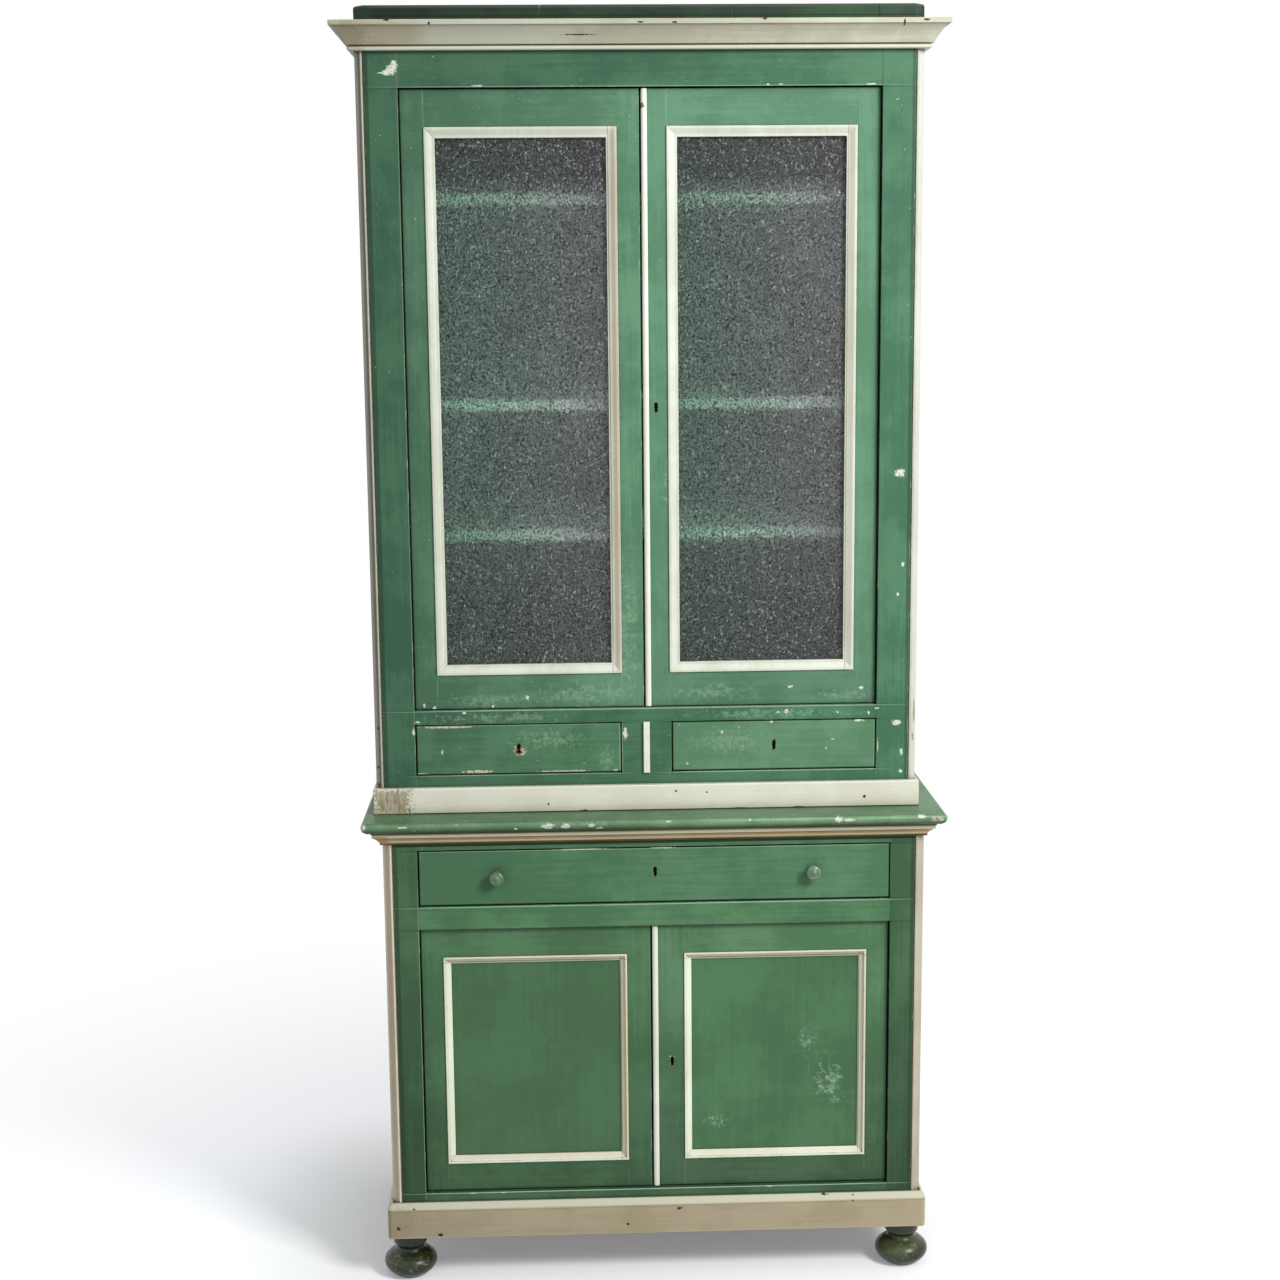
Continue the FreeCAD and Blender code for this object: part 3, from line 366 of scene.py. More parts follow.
# %% The scuff group
bench, given = start_group("scuffs", {"Amount": "F"}, {"Mask": "F"})
place = bench.put("TexCoord").outputs["Object"]
mottle = bench.noise(place, 120.0, 6.0, 0.8)
limit = bench.sum("SUBTRACT", 0.70, bench.sum("MULTIPLY", given["Amount"], 0.22))
rubbed = bench.spread(bench.sum("SUBTRACT", mottle, limit), 0.0, 0.14)
across_grain = bench.noise(bench.stretched(place, 190.0, 190.0, 9.0), 1.0, 1.0, 0.5)
along_grain = bench.noise(bench.stretched(place, 11.0, 170.0, 170.0), 1.0, 1.0, 0.5)
scratch = None
for drawn in (across_grain, along_grain):
    line = bench.spread(bench.sum("ABSOLUTE", bench.sum("SUBTRACT", drawn, 0.5)), 0.007, 0.002)
    scratch = line if scratch is None else bench.sum("MAXIMUM", scratch, line)
where = bench.spread(bench.noise(place, 14.0, 2.0, 0.5), 0.50, 0.66)
scratch = bench.sum("MULTIPLY", bench.sum("MULTIPLY", scratch, where), given["Amount"])
scuffs = end_group(bench, {"Mask": bench.sum("MAXIMUM", rubbed, scratch)})

# %% [markdown]
# ## Bare pine
#
# Inside, the boards were left unpainted and have gone brown with age. Pine
# is told by its grain: thin dark late wood in wavy lines along the board,
# with a knot here and there. The grain is a wave texture drawn out along
# the board and pushed about by noise. The stretch is small along the grain
# and large across it. Where boards stand side by side, each one takes its
# grain from another place, and a dark line marks the joint.

# %% The pine grain group
EARLY_WOOD, LATE_WOOD, AGED_WOOD, OPEN_JOINT = (176, 142, 98), (122, 86, 50), (92, 70, 46), (40, 28, 18)
GRAIN_UP, GRAIN_ACROSS, GRAIN_DEEP = (26.0, 26.0, 1.6), (1.6, 26.0, 26.0), (26.0, 1.6, 26.0)
# A row of boards is given by its first joint and the width of one board
ONE_BOARD, HUTCH_BOARDS, BASE_BOARDS = (-10.0, 20.0), (-0.43625, 0.14433), (-0.42575, 0.14433)
bench, given = start_group(
    "pine grain",
    {"Stretch": "V", "Early Wood": "C", "Late Wood": "C", "First Joint": "F", "Board Width": "F"},
    {"Colour": "C", "Height": "F", "Roughness": "F"},
)
place = bench.put("TexCoord").outputs["Object"]
run = bench.sum("SUBTRACT", bench.put("SeparateXYZ", {0: place}).outputs["X"], given["First Joint"])
run = bench.sum("DIVIDE", run, given["Board Width"])
board = bench.sum("FLOOR", run, 0.0)
off_joint = bench.sum("ABSOLUTE", bench.sum("SUBTRACT", bench.sum("SUBTRACT", run, board), 0.5))
joint = bench.spread(off_joint, 0.486, 0.494)
shift = bench.sum("MULTIPLY", board, 3.7)
drawn = bench.vector("MULTIPLY", place, given["Stretch"])
drawn = bench.vector("ADD", drawn, bench.put("CombineXYZ", {0: shift, 1: shift, 2: shift}).outputs[0])
push = bench.put("TexNoise", {"Vector": drawn, "Scale": 0.7, "Detail": 2.0}).outputs["Color"]
bent = bench.vector("ADD", drawn, push)
rings = bench.put(
    "TexWave",
    {"Vector": bent, "Scale": 0.9, "Distortion": 5.0, "Detail": 3.0, "Detail Scale": 0.8},
    wave_type="RINGS", rings_direction="SPHERICAL",
).outputs["Fac"]
fibre = bench.noise(drawn, 9.0, 4.0, 0.7)
knots = bench.put("TexVoronoi", {"Vector": drawn, "Scale": 0.22}, feature="F1").outputs["Distance"]
knot = bench.spread(knots, 0.16, 0.08)
late = bench.sum("MULTIPLY", bench.spread(rings, 0.45, 1.0), bench.spread(fibre, 0.1, 0.7))
late = bench.sum("MAXIMUM", bench.sum("MULTIPLY", late, 0.7), knot)
aged = bench.noise(place, 5.0, 4.0, 0.6)
colour = bench.blend(late, given["Early Wood"], given["Late Wood"])
colour = bench.blend(bench.spread(aged, 0.4, 0.75, 0.0, 0.35), colour, tint(*AGED_WOOD))
colour = bench.blend(bench.sum("MULTIPLY", joint, 0.8), colour, tint(*OPEN_JOINT))
pine_grain = end_group(
    bench,
    {
        "Colour": colour,
        "Height": bench.sum("ADD", bench.sum("MULTIPLY", late, 0.4), bench.sum("MULTIPLY", fibre, 0.6)),
        "Roughness": bench.spread(fibre, 0.2, 0.8, 0.62, 0.78),
    },
)

# %% Values for the pine grain


def pine_values(stretch, early, late, boards):
    """Values for the pine grain group. Boards are the first joint and the width."""
    return {
        "Stretch": stretch, "Early Wood": tint(*early), "Late Wood": tint(*late),
        "First Joint": boards[0], "Board Width": boards[1],
    }


# %% [markdown]
# ## Painted wood
#
# Every painted board is the same story with other values: brushed paint
# with painted light and shade, dirt and painted shade in the corners, thin
# bands of painted highlight and shadow, an undercoat that shows on worn edges
# and flecks, and bare wood where the wear is deepest. Each kind of wear has a
# small function that takes the colour so far and gives it back changed, and
# the recipe calls them in the order in which the years went by. Each painted
# material below calls the recipe with its own colours and lists.

# %% Values of the painted wood
UNDERCOAT = (226, 230, 214)
OLD_WOOD = (128, 104, 74)
# Dirt and painted shade in corners, and painted shade in bands
GRIME_AND_SHADE = (30, 40, 27)
# Rims of polished wear and painted highlight
POLISHED_AND_LIT = (150, 184, 152)
# Nail holes, and painted shade in the keyholes
HOLE_AND_KEYHOLE_SHADE = (54, 42, 28)
# The corner power of a band with nearly square ends
SQUARE = 6.0
# Bare wood fades out between these depths, so it stays on the front
FRONT_ONLY = (-0.115, -0.150)
# The middle and half width of the rails: none, or all the way across
STROKES_STAND, STROKES_LIE = (0.0, 0.0), (0.0, 10.0)
# The same shade at both ends
EVEN = (1.0, 1.0)
print("undercoat:", UNDERCOAT, "wood:", OLD_WOOD)

# %% One function for each kind of wear


def brushed_film(bench, paint, faded, more):
    """The coat of paint itself, as the brush left it, with painted light and shade over it."""
    rails, sides = more.get("rails", STROKES_STAND), more.get("sides", EVEN)
    levels, heights = more.get("levels", EVEN), more.get("heights", (0.0, 2.1))
    return use(
        bench,
        brushed_paint,
        {
            "Paint": tint(*paint), "Faded": tint(*faded),
            "Rail Middle": rails[0], "Rail Half": rails[1],
            "Left": sides[0], "Right": sides[1], "Low": levels[0], "High": levels[1],
            "From": heights[0], "To": heights[1], "Upright": more.get("upright", 1.0),
            "Flecks": more.get("flecks", 0.20), "Clouds": more.get("clouds", 0.9),
        },
    )


def handled(bench, place, colour, edges, more):
    """Used paint: scuffs, rims of wear and painted highlight, and washes, mostly painted light and shade.
    """
    pale = tint(*more.get("pale", POLISHED_AND_LIT))
    thick = marks_at(bench, place, more.get("scuffs", ()), kind="Soft")
    thick = bench.sum("ADD", thick, more.get("dust", 0.25))
    rubbed = use(bench, scuffs, {"Amount": thick})["Mask"]
    colour = bench.blend(bench.sum("MULTIPLY", rubbed, more.get("scuff", 0.42)), colour, pale)
    colour = bench.blend(bench.sum("MULTIPLY", edges["Rim Wear And Highlight"], more.get("rim", 0.5)), colour, pale)
    # Washes: flat bands of another tone, mostly painted highlights and painted shadow lines
    for patch, tone, share in more.get("washes", ()):
        cover = marks_at(bench, place, [patch], SQUARE, kind="Flat")
        colour = bench.blend(bench.sum("MULTIPLY", cover, share), colour, tint(*tone))
    return colour


def chipped(bench, place, colour, under, wood, more):
    """Paint with its chips, which show undercoat and wood. Gives colour and mask."""
    if not more.get("chips"):
        return colour, 0.0
    chips = marks_at(bench, place, more["chips"])
    if "in_front_of" in more:
        depth = bench.put("SeparateXYZ", {0: place}).outputs["Y"]
        chips = bench.sum("MULTIPLY", chips, bench.sum("LESS_THAN", depth, more["in_front_of"]))
    mottled = bench.spread(bench.noise(place, 380.0, 3.0, 0.6), 0.54, 0.68)
    return bench.blend(chips, colour, bench.blend(mottled, under, wood)), chips


def worn_to_wood(bench, place, colour, under, wood, more):
    """Paint with the places that have worn down to streaky old wood."""
    if not more.get("bare"):
        return colour
    bare = marks_at(bench, place, more["bare"], more.get("square", 2.0))
    depth = bench.put("SeparateXYZ", {0: place}).outputs["Y"]
    bare = bench.sum("MULTIPLY", bare, bench.spread(depth, *FRONT_ONLY))
    streaky = bench.noise(bench.stretched(place, 210.0, 210.0, 38.0), 1.0, 5.0, 0.75)
    old = bench.blend(bench.spread(streaky, 0.40, 0.62), wood, under)
    return bench.blend(bench.sum("MULTIPLY", bare, more.get("bareness", 0.8)), colour, old)


def nailed(bench, place, colour, more):
    """Paint with its nail holes, and painted shade in the keyholes. Gives colour and mask."""
    if not more.get("nails"):
        return colour, 0.0
    nails = marks_at(bench, place, more["nails"])
    return bench.blend(nails, colour, tint(*HOLE_AND_KEYHOLE_SHADE)), nails


def bare_inside(bench, place, colour, dirt, grime, more):
    """Paint outside and pine inside. The inside is a slab across one axis."""
    if "inside" not in more:
        return colour
    axis, middle, half, stretch, boards = more["inside"]
    off_middle = bench.sum("SUBTRACT", bench.put("SeparateXYZ", {0: place}).outputs[axis], middle)
    within = bench.sum("LESS_THAN", bench.sum("ABSOLUTE", off_middle), half)
    grain = use(bench, pine_grain, pine_values(stretch, EARLY_WOOD, LATE_WOOD, boards))
    return bench.blend(within, colour, bench.blend(dirt, grain["Colour"], grime))


# %% The painted wood recipe


def painted(name, paint, faded, **more):
    """A painted wood material. Colours are 0 to 255, places in metres.

    Of the options, sides and levels paint light and shade at left and right,
    and at the lower and upper of the heights, and upright paints shade on the
    uprights. Rails are given by their middle and half width. Chips, nails,
    scuffs and bare are lists of marks, washes are marks with a colour and a
    share, mostly painted highlights and shadows, and inside says where the
    pine is bare.
    """
    made, bench = start_material(name)
    place = bench.put("TexCoord").outputs["Object"]
    film = brushed_film(bench, paint, faded, more)
    edge_values = {"Radius": more.get("radius", 0.0020), "Amount": more.get("wear", 0.5)}
    edges = use(bench, worn_edges, edge_values)
    under, wood = tint(*more.get("under", UNDERCOAT)), tint(*more.get("wood", OLD_WOOD))
    grime = tint(*more.get("grime", GRIME_AND_SHADE))
    # Dirt and painted shade in the corners
    dirt = bench.sum("MULTIPLY", edges["Corner Dirt And Shade"], more.get("dirt", 0.45), clamp=True)
    colour = handled(bench, place, bench.blend(dirt, film["Colour"], grime), edges, more)
    bright = bench.sum("MAXIMUM", film["Flecks"], edges["Worn"])
    colour = bench.blend(bench.sum("MULTIPLY", bright, more.get("bright", 0.7)), colour, under)
    colour = bench.blend(edges["Bare"], colour, wood)
    colour, chips = chipped(bench, place, colour, under, wood, more)
    colour = worn_to_wood(bench, place, colour, under, wood, more)
    colour, nails = nailed(bench, place, colour, more)
    colour = bare_inside(bench, place, colour, dirt, grime, more)
    lost = bench.sum("MAXIMUM", bench.sum("MAXIMUM", chips, nails), edges["Worn"])
    height = bench.sum("SUBTRACT", film["Height"], bench.sum("MULTIPLY", lost, 0.8))
    rough = bench.sum("ADD", film["Gloss"], more.get("rough", 0.46))
    rough = bench.sum("ADD", rough, bench.sum("MULTIPLY", lost, 0.25))
    values = {"Base Color": colour, "Roughness": rough, "Specular IOR Level": more.get("gloss", 0.22)}
    values["Normal"] = raise_bump(bench, height, 0.0005, more.get("bump", 0.5), edges["Normal"])
    return finish_material(made, bench, values)


def wear_on(material, *names):
    """Gives a finish to CAD pieces by name."""
    for name in names:
        slots = nodes[name].data.materials
        slots.clear()
        slots.append(material)


# %% [markdown]
# ## The greens
#
# One green was mixed for the whole cupboard, but the two halves have aged
# apart: the hutch has faded bluer and paler and the base is deeper. Painted
# light and shade make each piece lighter or darker from left to right and
# from low to high. The rails' middle and half width tell the brush where to
# turn. Marks are listed as middle and half size. Washes are flat bands of
# another tone, each with its colour and share: most are painted light and
# shade, thin highlights along an arris where the light catches a rounded
# edge, and dark lines where a gap is deeper than it is in the model, beside
# the posts and under the mouldings.

# %% Green paint of the hutch frame
# The middles of the two halves, and a half width that runs past both ends
HUTCH_MIDDLE, BASE_MIDDLE, ACROSS = -0.003, 0.007, 0.60
frame_chips = [
    (-0.0389, 0.9417, 0.0034, 0.0098), (0.4148, 0.9534, 0.0070, 0.0045), (0.4234, 0.9040, 0.0024, 0.0058),
    (0.2301, 0.9748, 0.0036, 0.0038), (0.2159, 0.9740, 0.0020, 0.0018), (0.3157, 0.9724, 0.0018, 0.0016),
    (0.3680, 0.9708, 0.0016, 0.0036), (-0.3896, 0.9492, 0.0023, 0.0052), (-0.3822, 0.9662, 0.0036, 0.0018),
    (-0.3051, 0.9808, 0.0036, 0.0018), (0.4154, 1.3699, 0.0080, 0.0060), (0.4226, 0.8699, 0.0026, 0.0034),
    (-0.3915, 2.0195, 0.0046, 0.0080), (-0.3965, 2.0130, 0.0072, 0.0066), (-0.4020, 2.0090, 0.0080, 0.0044),
    (-0.4120, 2.0082, 0.0070, 0.0010), (0.4146, 1.1699, 0.0020, 0.0028), (-0.2620, 1.9882, 0.0093, 0.0009),
    (0.4220, 1.2200, 0.0026, 0.0040), (0.1977, 1.9880, 0.0023, 0.0013), (0.2183, 1.9880, 0.0031, 0.0011),
    (0.3620, 1.9880, 0.0080, 0.0009), (0.3812, 0.9780, 0.0040, 0.0012), (0.3836, 0.9150, 0.0008, 0.0100),
]
# Painted highlight on a lit arris, painted shade beside a gap, painted shadow in it
LIT_ARRIS, GAP_SHADE, GAP_SHADOW_BLACK = (186, 212, 184), (22, 40, 26), (6, 14, 8)


def gap_shadow_round(left, right, low, high):
    """Painted shadow lines on the arrises round one opening of a face frame."""
    x, z, wide, tall = (left + right) / 2, (low + high) / 2, (right - left) / 2, (high - low) / 2
    return [
        ((x, high, wide, 0.0011), GAP_SHADOW_BLACK, 0.85), ((x, low, wide, 0.0008), GAP_SHADOW_BLACK, 0.7),
        ((left, z, 0.0009, tall), GAP_SHADOW_BLACK, 0.75), ((right, z, 0.0009, tall), GAP_SHADOW_BLACK, 0.75),
    ]


# Painted light and shade: darker at left and high up, shade by the posts and cornice, lit arrises, dark
# gaps
hutch_green = painted(
    "hutch green", (60, 103, 77), (78, 121, 92), rails=(-0.00325, 0.384), sides=(0.84, 1.24),
    levels=(0.98, 0.92), heights=(1.0, 1.95), chips=frame_chips, wear=0.45, flecks=0.16,
    scuffs=[(-0.25, 0.972, 0.16, 0.012), (0.20, 0.972, 0.20, 0.012)],
    washes=[
        ((-0.4370, 1.45, 0.0040, 0.70), GRIME_AND_SHADE, 0.55), ((0.4312, 1.45, 0.0030, 0.70), GRIME_AND_SHADE, 0.45),
        ((HUTCH_MIDDLE, 2.0390, 0.50, 0.0030), GRIME_AND_SHADE, 0.40),
        ((-0.3878, 1.45, 0.0006, 0.50), LIT_ARRIS, 0.45),
        ((HUTCH_MIDDLE, 0.9838, 0.39, 0.0007), LIT_ARRIS, 0.55),
        ((HUTCH_MIDDLE, 1.9866, 0.39, 0.0006), LIT_ARRIS, 0.40),
        ((-0.2159, 0.8744, 0.17, 0.0006), LIT_ARRIS, 0.35),
        ((0.2093, 0.8744, 0.17, 0.0006), LIT_ARRIS, 0.55),
        ((-0.0440, 0.918, 0.0006, 0.040), LIT_ARRIS, 0.5),
    ] + gap_shadow_round(-0.3870, 0.3806, 0.9855, 1.9845) + gap_shadow_round(-0.3860, -0.0458, 0.8762, 0.9603)
    + gap_shadow_round(0.0392, 0.3795, 0.8762, 0.9603),
)
wear_on(hutch_green, "hutch_face_frame")

# %% Green paint of the glazed doors
door_chips = [
    (0.2373, 1.0155, 0.0044, 0.0026), (0.3561, 1.0118, 0.0035, 0.0026), (-0.3710, 0.9933, 0.0020, 0.0035),
    (-0.3544, 0.9890, 0.0028, 0.0020), (-0.2004, 1.0037, 0.0024, 0.0036), (-0.2573, 0.9900, 0.0020, 0.0020),
]
# Painted light and shade: left door darker at left, right door darker low down, painted shade in its
# keyhole
hutch_left_green = painted(
    "hutch left door green", (84, 128, 98), (104, 149, 118), rails=(-0.1925, 0.156), sides=(0.66, 1.36),
    chips=door_chips, in_front_of=-0.1500, wear=0.5, flecks=0.22,
    scuffs=[(-0.10, 1.010, 0.11, 0.030), (-0.035, 1.10, 0.03, 0.14), (-0.26, 1.000, 0.10, 0.014)],
)
hutch_right_green = painted(
    "hutch right door green", (86, 130, 101), (102, 146, 117), rails=(0.1865, 0.156),
    nails=[(0.0169, 1.4805, 0.0032, 0.0084)], sides=(1.06, 1.04), chips=door_chips, in_front_of=-0.1500,
    wear=0.5, flecks=0.18, levels=(0.84, 1.0), heights=(1.02, 1.12),
    scuffs=[(0.10, 1.008, 0.10, 0.020), (0.33, 1.000, 0.07, 0.012), (0.04, 1.35, 0.02, 0.08)],
)
wear_on(hutch_left_green, "hutch_door_left_frame")
wear_on(hutch_right_green, "hutch_door_right_frame")

# %% Green paint of the small drawers
small_left_chips = [
    (-0.3431, 0.9147, 0.0020, 0.0036), (-0.3327, 0.9568, 0.0400, 0.0016), (-0.2855, 0.8808, 0.0235, 0.0022),
    (-0.1416, 0.8793, 0.0370, 0.0014), (-0.3761, 0.8775, 0.0100, 0.0022), (-0.0558, 0.8800, 0.0026, 0.0026),
]
# Painted light and shade: darker at left, painted highlights on lit arrises, painted shade in the keyhole
small_left_green = painted(
    "left small drawer green", (76, 121, 88), (94, 140, 106), rails=STROKES_LIE, sides=(0.72, 1.2),
    in_front_of=-0.1570, chips=small_left_chips,
    bare=[(-0.2150, 0.9150, 0.0100, 0.0075), (-0.2070, 0.9130, 0.0040, 0.0030)],
    nails=[(-0.2159, 0.9187, 0.0034, 0.0085), (-0.2159, 0.9135, 0.0050, 0.0030)], wear=0.65, flecks=0.18,
    scuffs=[(-0.17, 0.935, 0.09, 0.024), (-0.07, 0.90, 0.02, 0.03)], under=(212, 208, 180),
    wood=(132, 84, 54), bareness=1.0,
    washes=[
        ((-0.2159, 0.8779, 0.168, 0.0006), LIT_ARRIS, 0.5),
        ((-0.0476, 0.918, 0.0006, 0.040), LIT_ARRIS, 0.6),
        ((-0.2159, 0.9585, 0.168, 0.0006), LIT_ARRIS, 0.3),
    ],
)
small_right_chips = [
    (0.3524, 0.9575, 0.0070, 0.0018), (0.2969, 0.9116, 0.0018, 0.0018), (0.0642, 0.8886, 0.0018, 0.0018),
    (0.1226, 0.9414, 0.0018, 0.0018), (0.2049, 0.9570, 0.0026, 0.0018),
]
# Painted highlight on a lit arris, and painted shade in the keyhole
small_right_green = painted(
    "right small drawer green", (89, 132, 99), (105, 147, 114), rails=STROKES_LIE, chips=small_right_chips,
    wear=0.5, flecks=0.2, scuffs=[(0.13, 0.925, 0.09, 0.03)], nails=[(0.2093, 0.9187, 0.0031, 0.0082)],
    washes=[((0.3778, 0.918, 0.0005, 0.040), LIT_ARRIS, 0.5)],
)
wear_on(small_left_green, "small_drawer_left_front")
wear_on(small_right_green, "small_drawer_right_front")

# %% Green paint of the base frame and the big drawer
# Painted light and shade: darker low and on uprights, shade by posts, gaps and moulding, lit arrises
base_frame_green = painted(
    "base frame green", (74, 116, 80), (92, 136, 96), rails=(0.00725, 0.393), sides=(1.02, 1.0),
    levels=(0.62, 1.0), heights=(0.15, 0.62), upright=0.66, wear=0.45, flecks=0.1,
    chips=[
        (-0.3060, 0.1556, 0.0060, 0.0010), (-0.2560, 0.1556, 0.0040, 0.0008),
        (0.20, 0.1556, 0.0060, 0.0009),
    ],
    washes=[
        ((-0.4235, 0.45, 0.0040, 0.34), GRIME_AND_SHADE, 0.55), ((0.4385, 0.45, 0.0036, 0.34), GRIME_AND_SHADE, 0.5),
        ((BASE_MIDDLE, 0.7674, 0.50, 0.0028), (20, 34, 10), 0.92),
        # Pale top arris of the bottom rail: partly wear, partly painted highlight
        ((BASE_MIDDLE, 0.1560, 0.39, 0.0007), (200, 218, 196), 0.75),
        ((-0.3870, 0.40, 0.0006, 0.25), LIT_ARRIS, 0.55),
        ((BASE_MIDDLE, 0.6597, 0.39, 0.0006), LIT_ARRIS, 0.8),
        ((0.4003, 0.71, 0.0006, 0.048), LIT_ARRIS, 0.4),
        ((BASE_MIDDLE, 0.1440, 0.45, 0.0016), GAP_SHADE, 0.4),
    ] + gap_shadow_round(-0.3851, 0.3996, 0.6627, 0.7573) + gap_shadow_round(-0.3860, 0.4005, 0.1580, 0.6215),
)
# Painted light and shade: lighter at right, a painted shadow and highlight on the top edge, shade in the
# keyhole
big_drawer_green = painted(
    "big drawer green", (75, 117, 84), (91, 134, 100), rails=STROKES_LIE, sides=(0.95, 1.05),
    chips=[(-0.115, 0.7558, 0.040, 0.0008), (0.02, 0.7558, 0.018, 0.0007)], in_front_of=-0.1985, wear=0.45,
    flecks=0.08, dust=0.12, nails=[(0.00725, 0.7160, 0.0031, 0.0082)],
    washes=[
        ((BASE_MIDDLE, 0.7562, 0.39, 0.0006), GAP_SHADE, 0.8),
        ((BASE_MIDDLE, 0.7548, 0.39, 0.0006), LIT_ARRIS, 0.35),
    ],
)
wear_on(base_frame_green, "base_face_frame")
wear_on(big_drawer_green, "big_drawer_front")

# %% Green paint of the base doors
# Painted shade: both doors darker low down, and painted shade in the right door's keyhole
base_left_green = painted(
    "base left door green", (72, 112, 76), (88, 130, 92), rails=(-0.197, 0.155), levels=(0.66, 1.0),
    heights=(0.16, 0.58), wear=0.5, flecks=0.12, dust=0.15,
)
base_right_green = painted(
    "base right door green", (76, 116, 80), (94, 134, 98), rails=(0.211, 0.145), levels=(0.60, 1.10),
    heights=(0.16, 0.58), wear=0.5, flecks=0.12, dust=0.15, nails=[(0.0343, 0.3805, 0.0031, 0.0082)],
    chips=[(0.0343, 0.3895, 0.0034, 0.0008)],
)
panel_left_green = painted(
    "base left panel green", (71, 109, 73), (79, 119, 82), wear=0.1, flecks=0.06, dirt=0.8, dust=0.1,
)
# Painted light and shade: lighter at left and darker at right
panel_right_green = painted(
    "base right panel green", (76, 119, 81), (88, 133, 93), sides=(1.12, 0.84), wear=0.1, flecks=0.1,
    dirt=0.8, dust=0.1, scuff=0.75, pale=(168, 200, 168),
    scuffs=[(0.2640, 0.410, 0.022, 0.034), (0.3040, 0.335, 0.045, 0.060), (0.1100, 0.270, 0.030, 0.018)],
)
wear_on(base_left_green, "base_door_left_frame")
wear_on(base_right_green, "base_door_right_frame")
wear_on(panel_left_green, "base_door_left_panel")
wear_on(panel_right_green, "base_door_right_panel")

# %% Green paint of the counter
counter_chips = [
    (0.4460, 0.8105, 0.0070, 0.0022), (0.3088, 0.8080, 0.0050, 0.0046), (0.3270, 0.8069, 0.0110, 0.0020),
    (0.0289, 0.8098, 0.0062, 0.0012), (0.1622, 0.8100, 0.0026, 0.0014), (0.4790, 0.8045, 0.0030, 0.0024),
    (-0.1682, 0.8056, 0.0100, 0.0046), (-0.1399, 0.8050, 0.0070, 0.0040), (-0.0977, 0.8059, 0.0052, 0.0030),
    (-0.0839, 0.8005, 0.0052, 0.0018), (-0.2213, 0.8018, 0.0035, 0.0018), (-0.4066, 0.8073, 0.0070, 0.0014),
    (-0.4700, 0.8080, 0.0040, 0.0040),
]
# Painted light and shade: darker at left and under the nose, shade on the top by the plinth, highlight on
# the nose
counter_green = painted(
    "counter green", (94, 128, 92), (120, 153, 116), rails=STROKES_LIE, chips=counter_chips,
    in_front_of=-0.2270, wear=0.5, flecks=0.25, clouds=1.1, levels=(0.5, 1.16), heights=(0.7965, 0.8060),
    scuffs=[(-0.12, 0.806, 0.08, 0.008), (0.33, 0.806, 0.05, 0.008)], sides=(0.86, 1.06),
    bare=[(0.4700, 0.8063, 0.0085, 0.0046)], wood=(150, 124, 104),
    washes=[
        ((BASE_MIDDLE, 0.8132, ACROSS, 0.0007), (62, 98, 68), 0.62),
        ((0.32, 0.8098, 0.18, 0.0005), (176, 208, 176), 0.5),
    ],
)
wear_on(counter_green, "counter_top")

# %% Green paint of the sides, the top and the hutch's inside
side_green = painted(
    "hutch side green", (60, 101, 74), (78, 120, 91), wear=0.5, flecks=0.12, scuffs=[(0.0, 0.9, 0.6, 0.2)],
)
# Painted shade: darker low down
base_side_green = painted(
    "base side green", (64, 104, 70), (82, 124, 86), wear=0.5, flecks=0.12, levels=(0.75, 1.0),
    heights=(0.1, 0.7), inside=("X", 0.00725, 0.4405, GRAIN_UP, ONE_BOARD), scuffs=[(0.0, 0.25, 0.6, 0.25)],
)
# Painted light and shade: darker at left, lighter at right, a painted highlight on the rounded top edge
top_green = painted(
    "top board green", (28, 50, 34), (44, 68, 50), rails=STROKES_LIE, sides=(0.55, 1.5), wear=0.3,
    flecks=0.05, bright=0.35, rim=0.35, pale=(96, 98, 84), dust=0.1,
    washes=[
        ((0.0, 2.1096, ACROSS, 0.0030), (78, 76, 64), 0.75),
        ((0.0, 2.0940, ACROSS, 0.0012), (12, 26, 16), 0.7),
        ((0.3740, 2.0980, 0.0008, 0.0140), (10, 22, 14), 0.9),
        ((0.4450, 2.0980, 0.0040, 0.0140), (20, 40, 28), 0.6),
        ((-0.4420, 2.0980, 0.0160, 0.0140), (28, 56, 32), 0.6),
    ],
)
# Painted light and shade: lighter at left and darker at right
inside_green = painted(
    "hutch inside green", (54, 84, 72), (68, 100, 88), wear=0.3, flecks=0.05, dust=0.1, scuff=0.2,
    inside=("Y", 0.2383, 0.0100, GRAIN_UP, HUTCH_BOARDS), sides=(1.5, 0.55),
)
wear_on(side_green, "hutch_sides")
wear_on(base_side_green, "base_sides")
wear_on(top_green, "hutch_top_boards")
wear_on(inside_green, "hutch_back_boards")

# %% [markdown]
# ## The creams
#
# Posts, plinths, mouldings and strips are picked out in cream. On the hutch
# it is still light and a little green; low down on the base it has yellowed
# to beige. Dirt and painted shade darken every quirk and mitre, and thin
# bands of painted light and shade lie along the mouldings.

# %% The cream recipe
CREAM_DIRT_AND_SHADE = (104, 94, 68)
CREAM_PALE = (238, 240, 226)
DARK_WOOD = (132, 118, 92)


def cream(name, paint, faded, **more):
    """Cream paint: rims of wear and painted highlight, brown dirt and painted shade, chips to dark wood."""
    values = {
        "pale": CREAM_PALE, "grime": CREAM_DIRT_AND_SHADE, "under": DARK_WOOD, "scuff": 0.22, "flecks": 0.08,
        "wear": 0.55, "dirt": 0.6, "dust": 0.2, "bright": 0.6, "rim": 0.45,
    }
    values.update(more)
    return painted(name, paint, faded, **values)


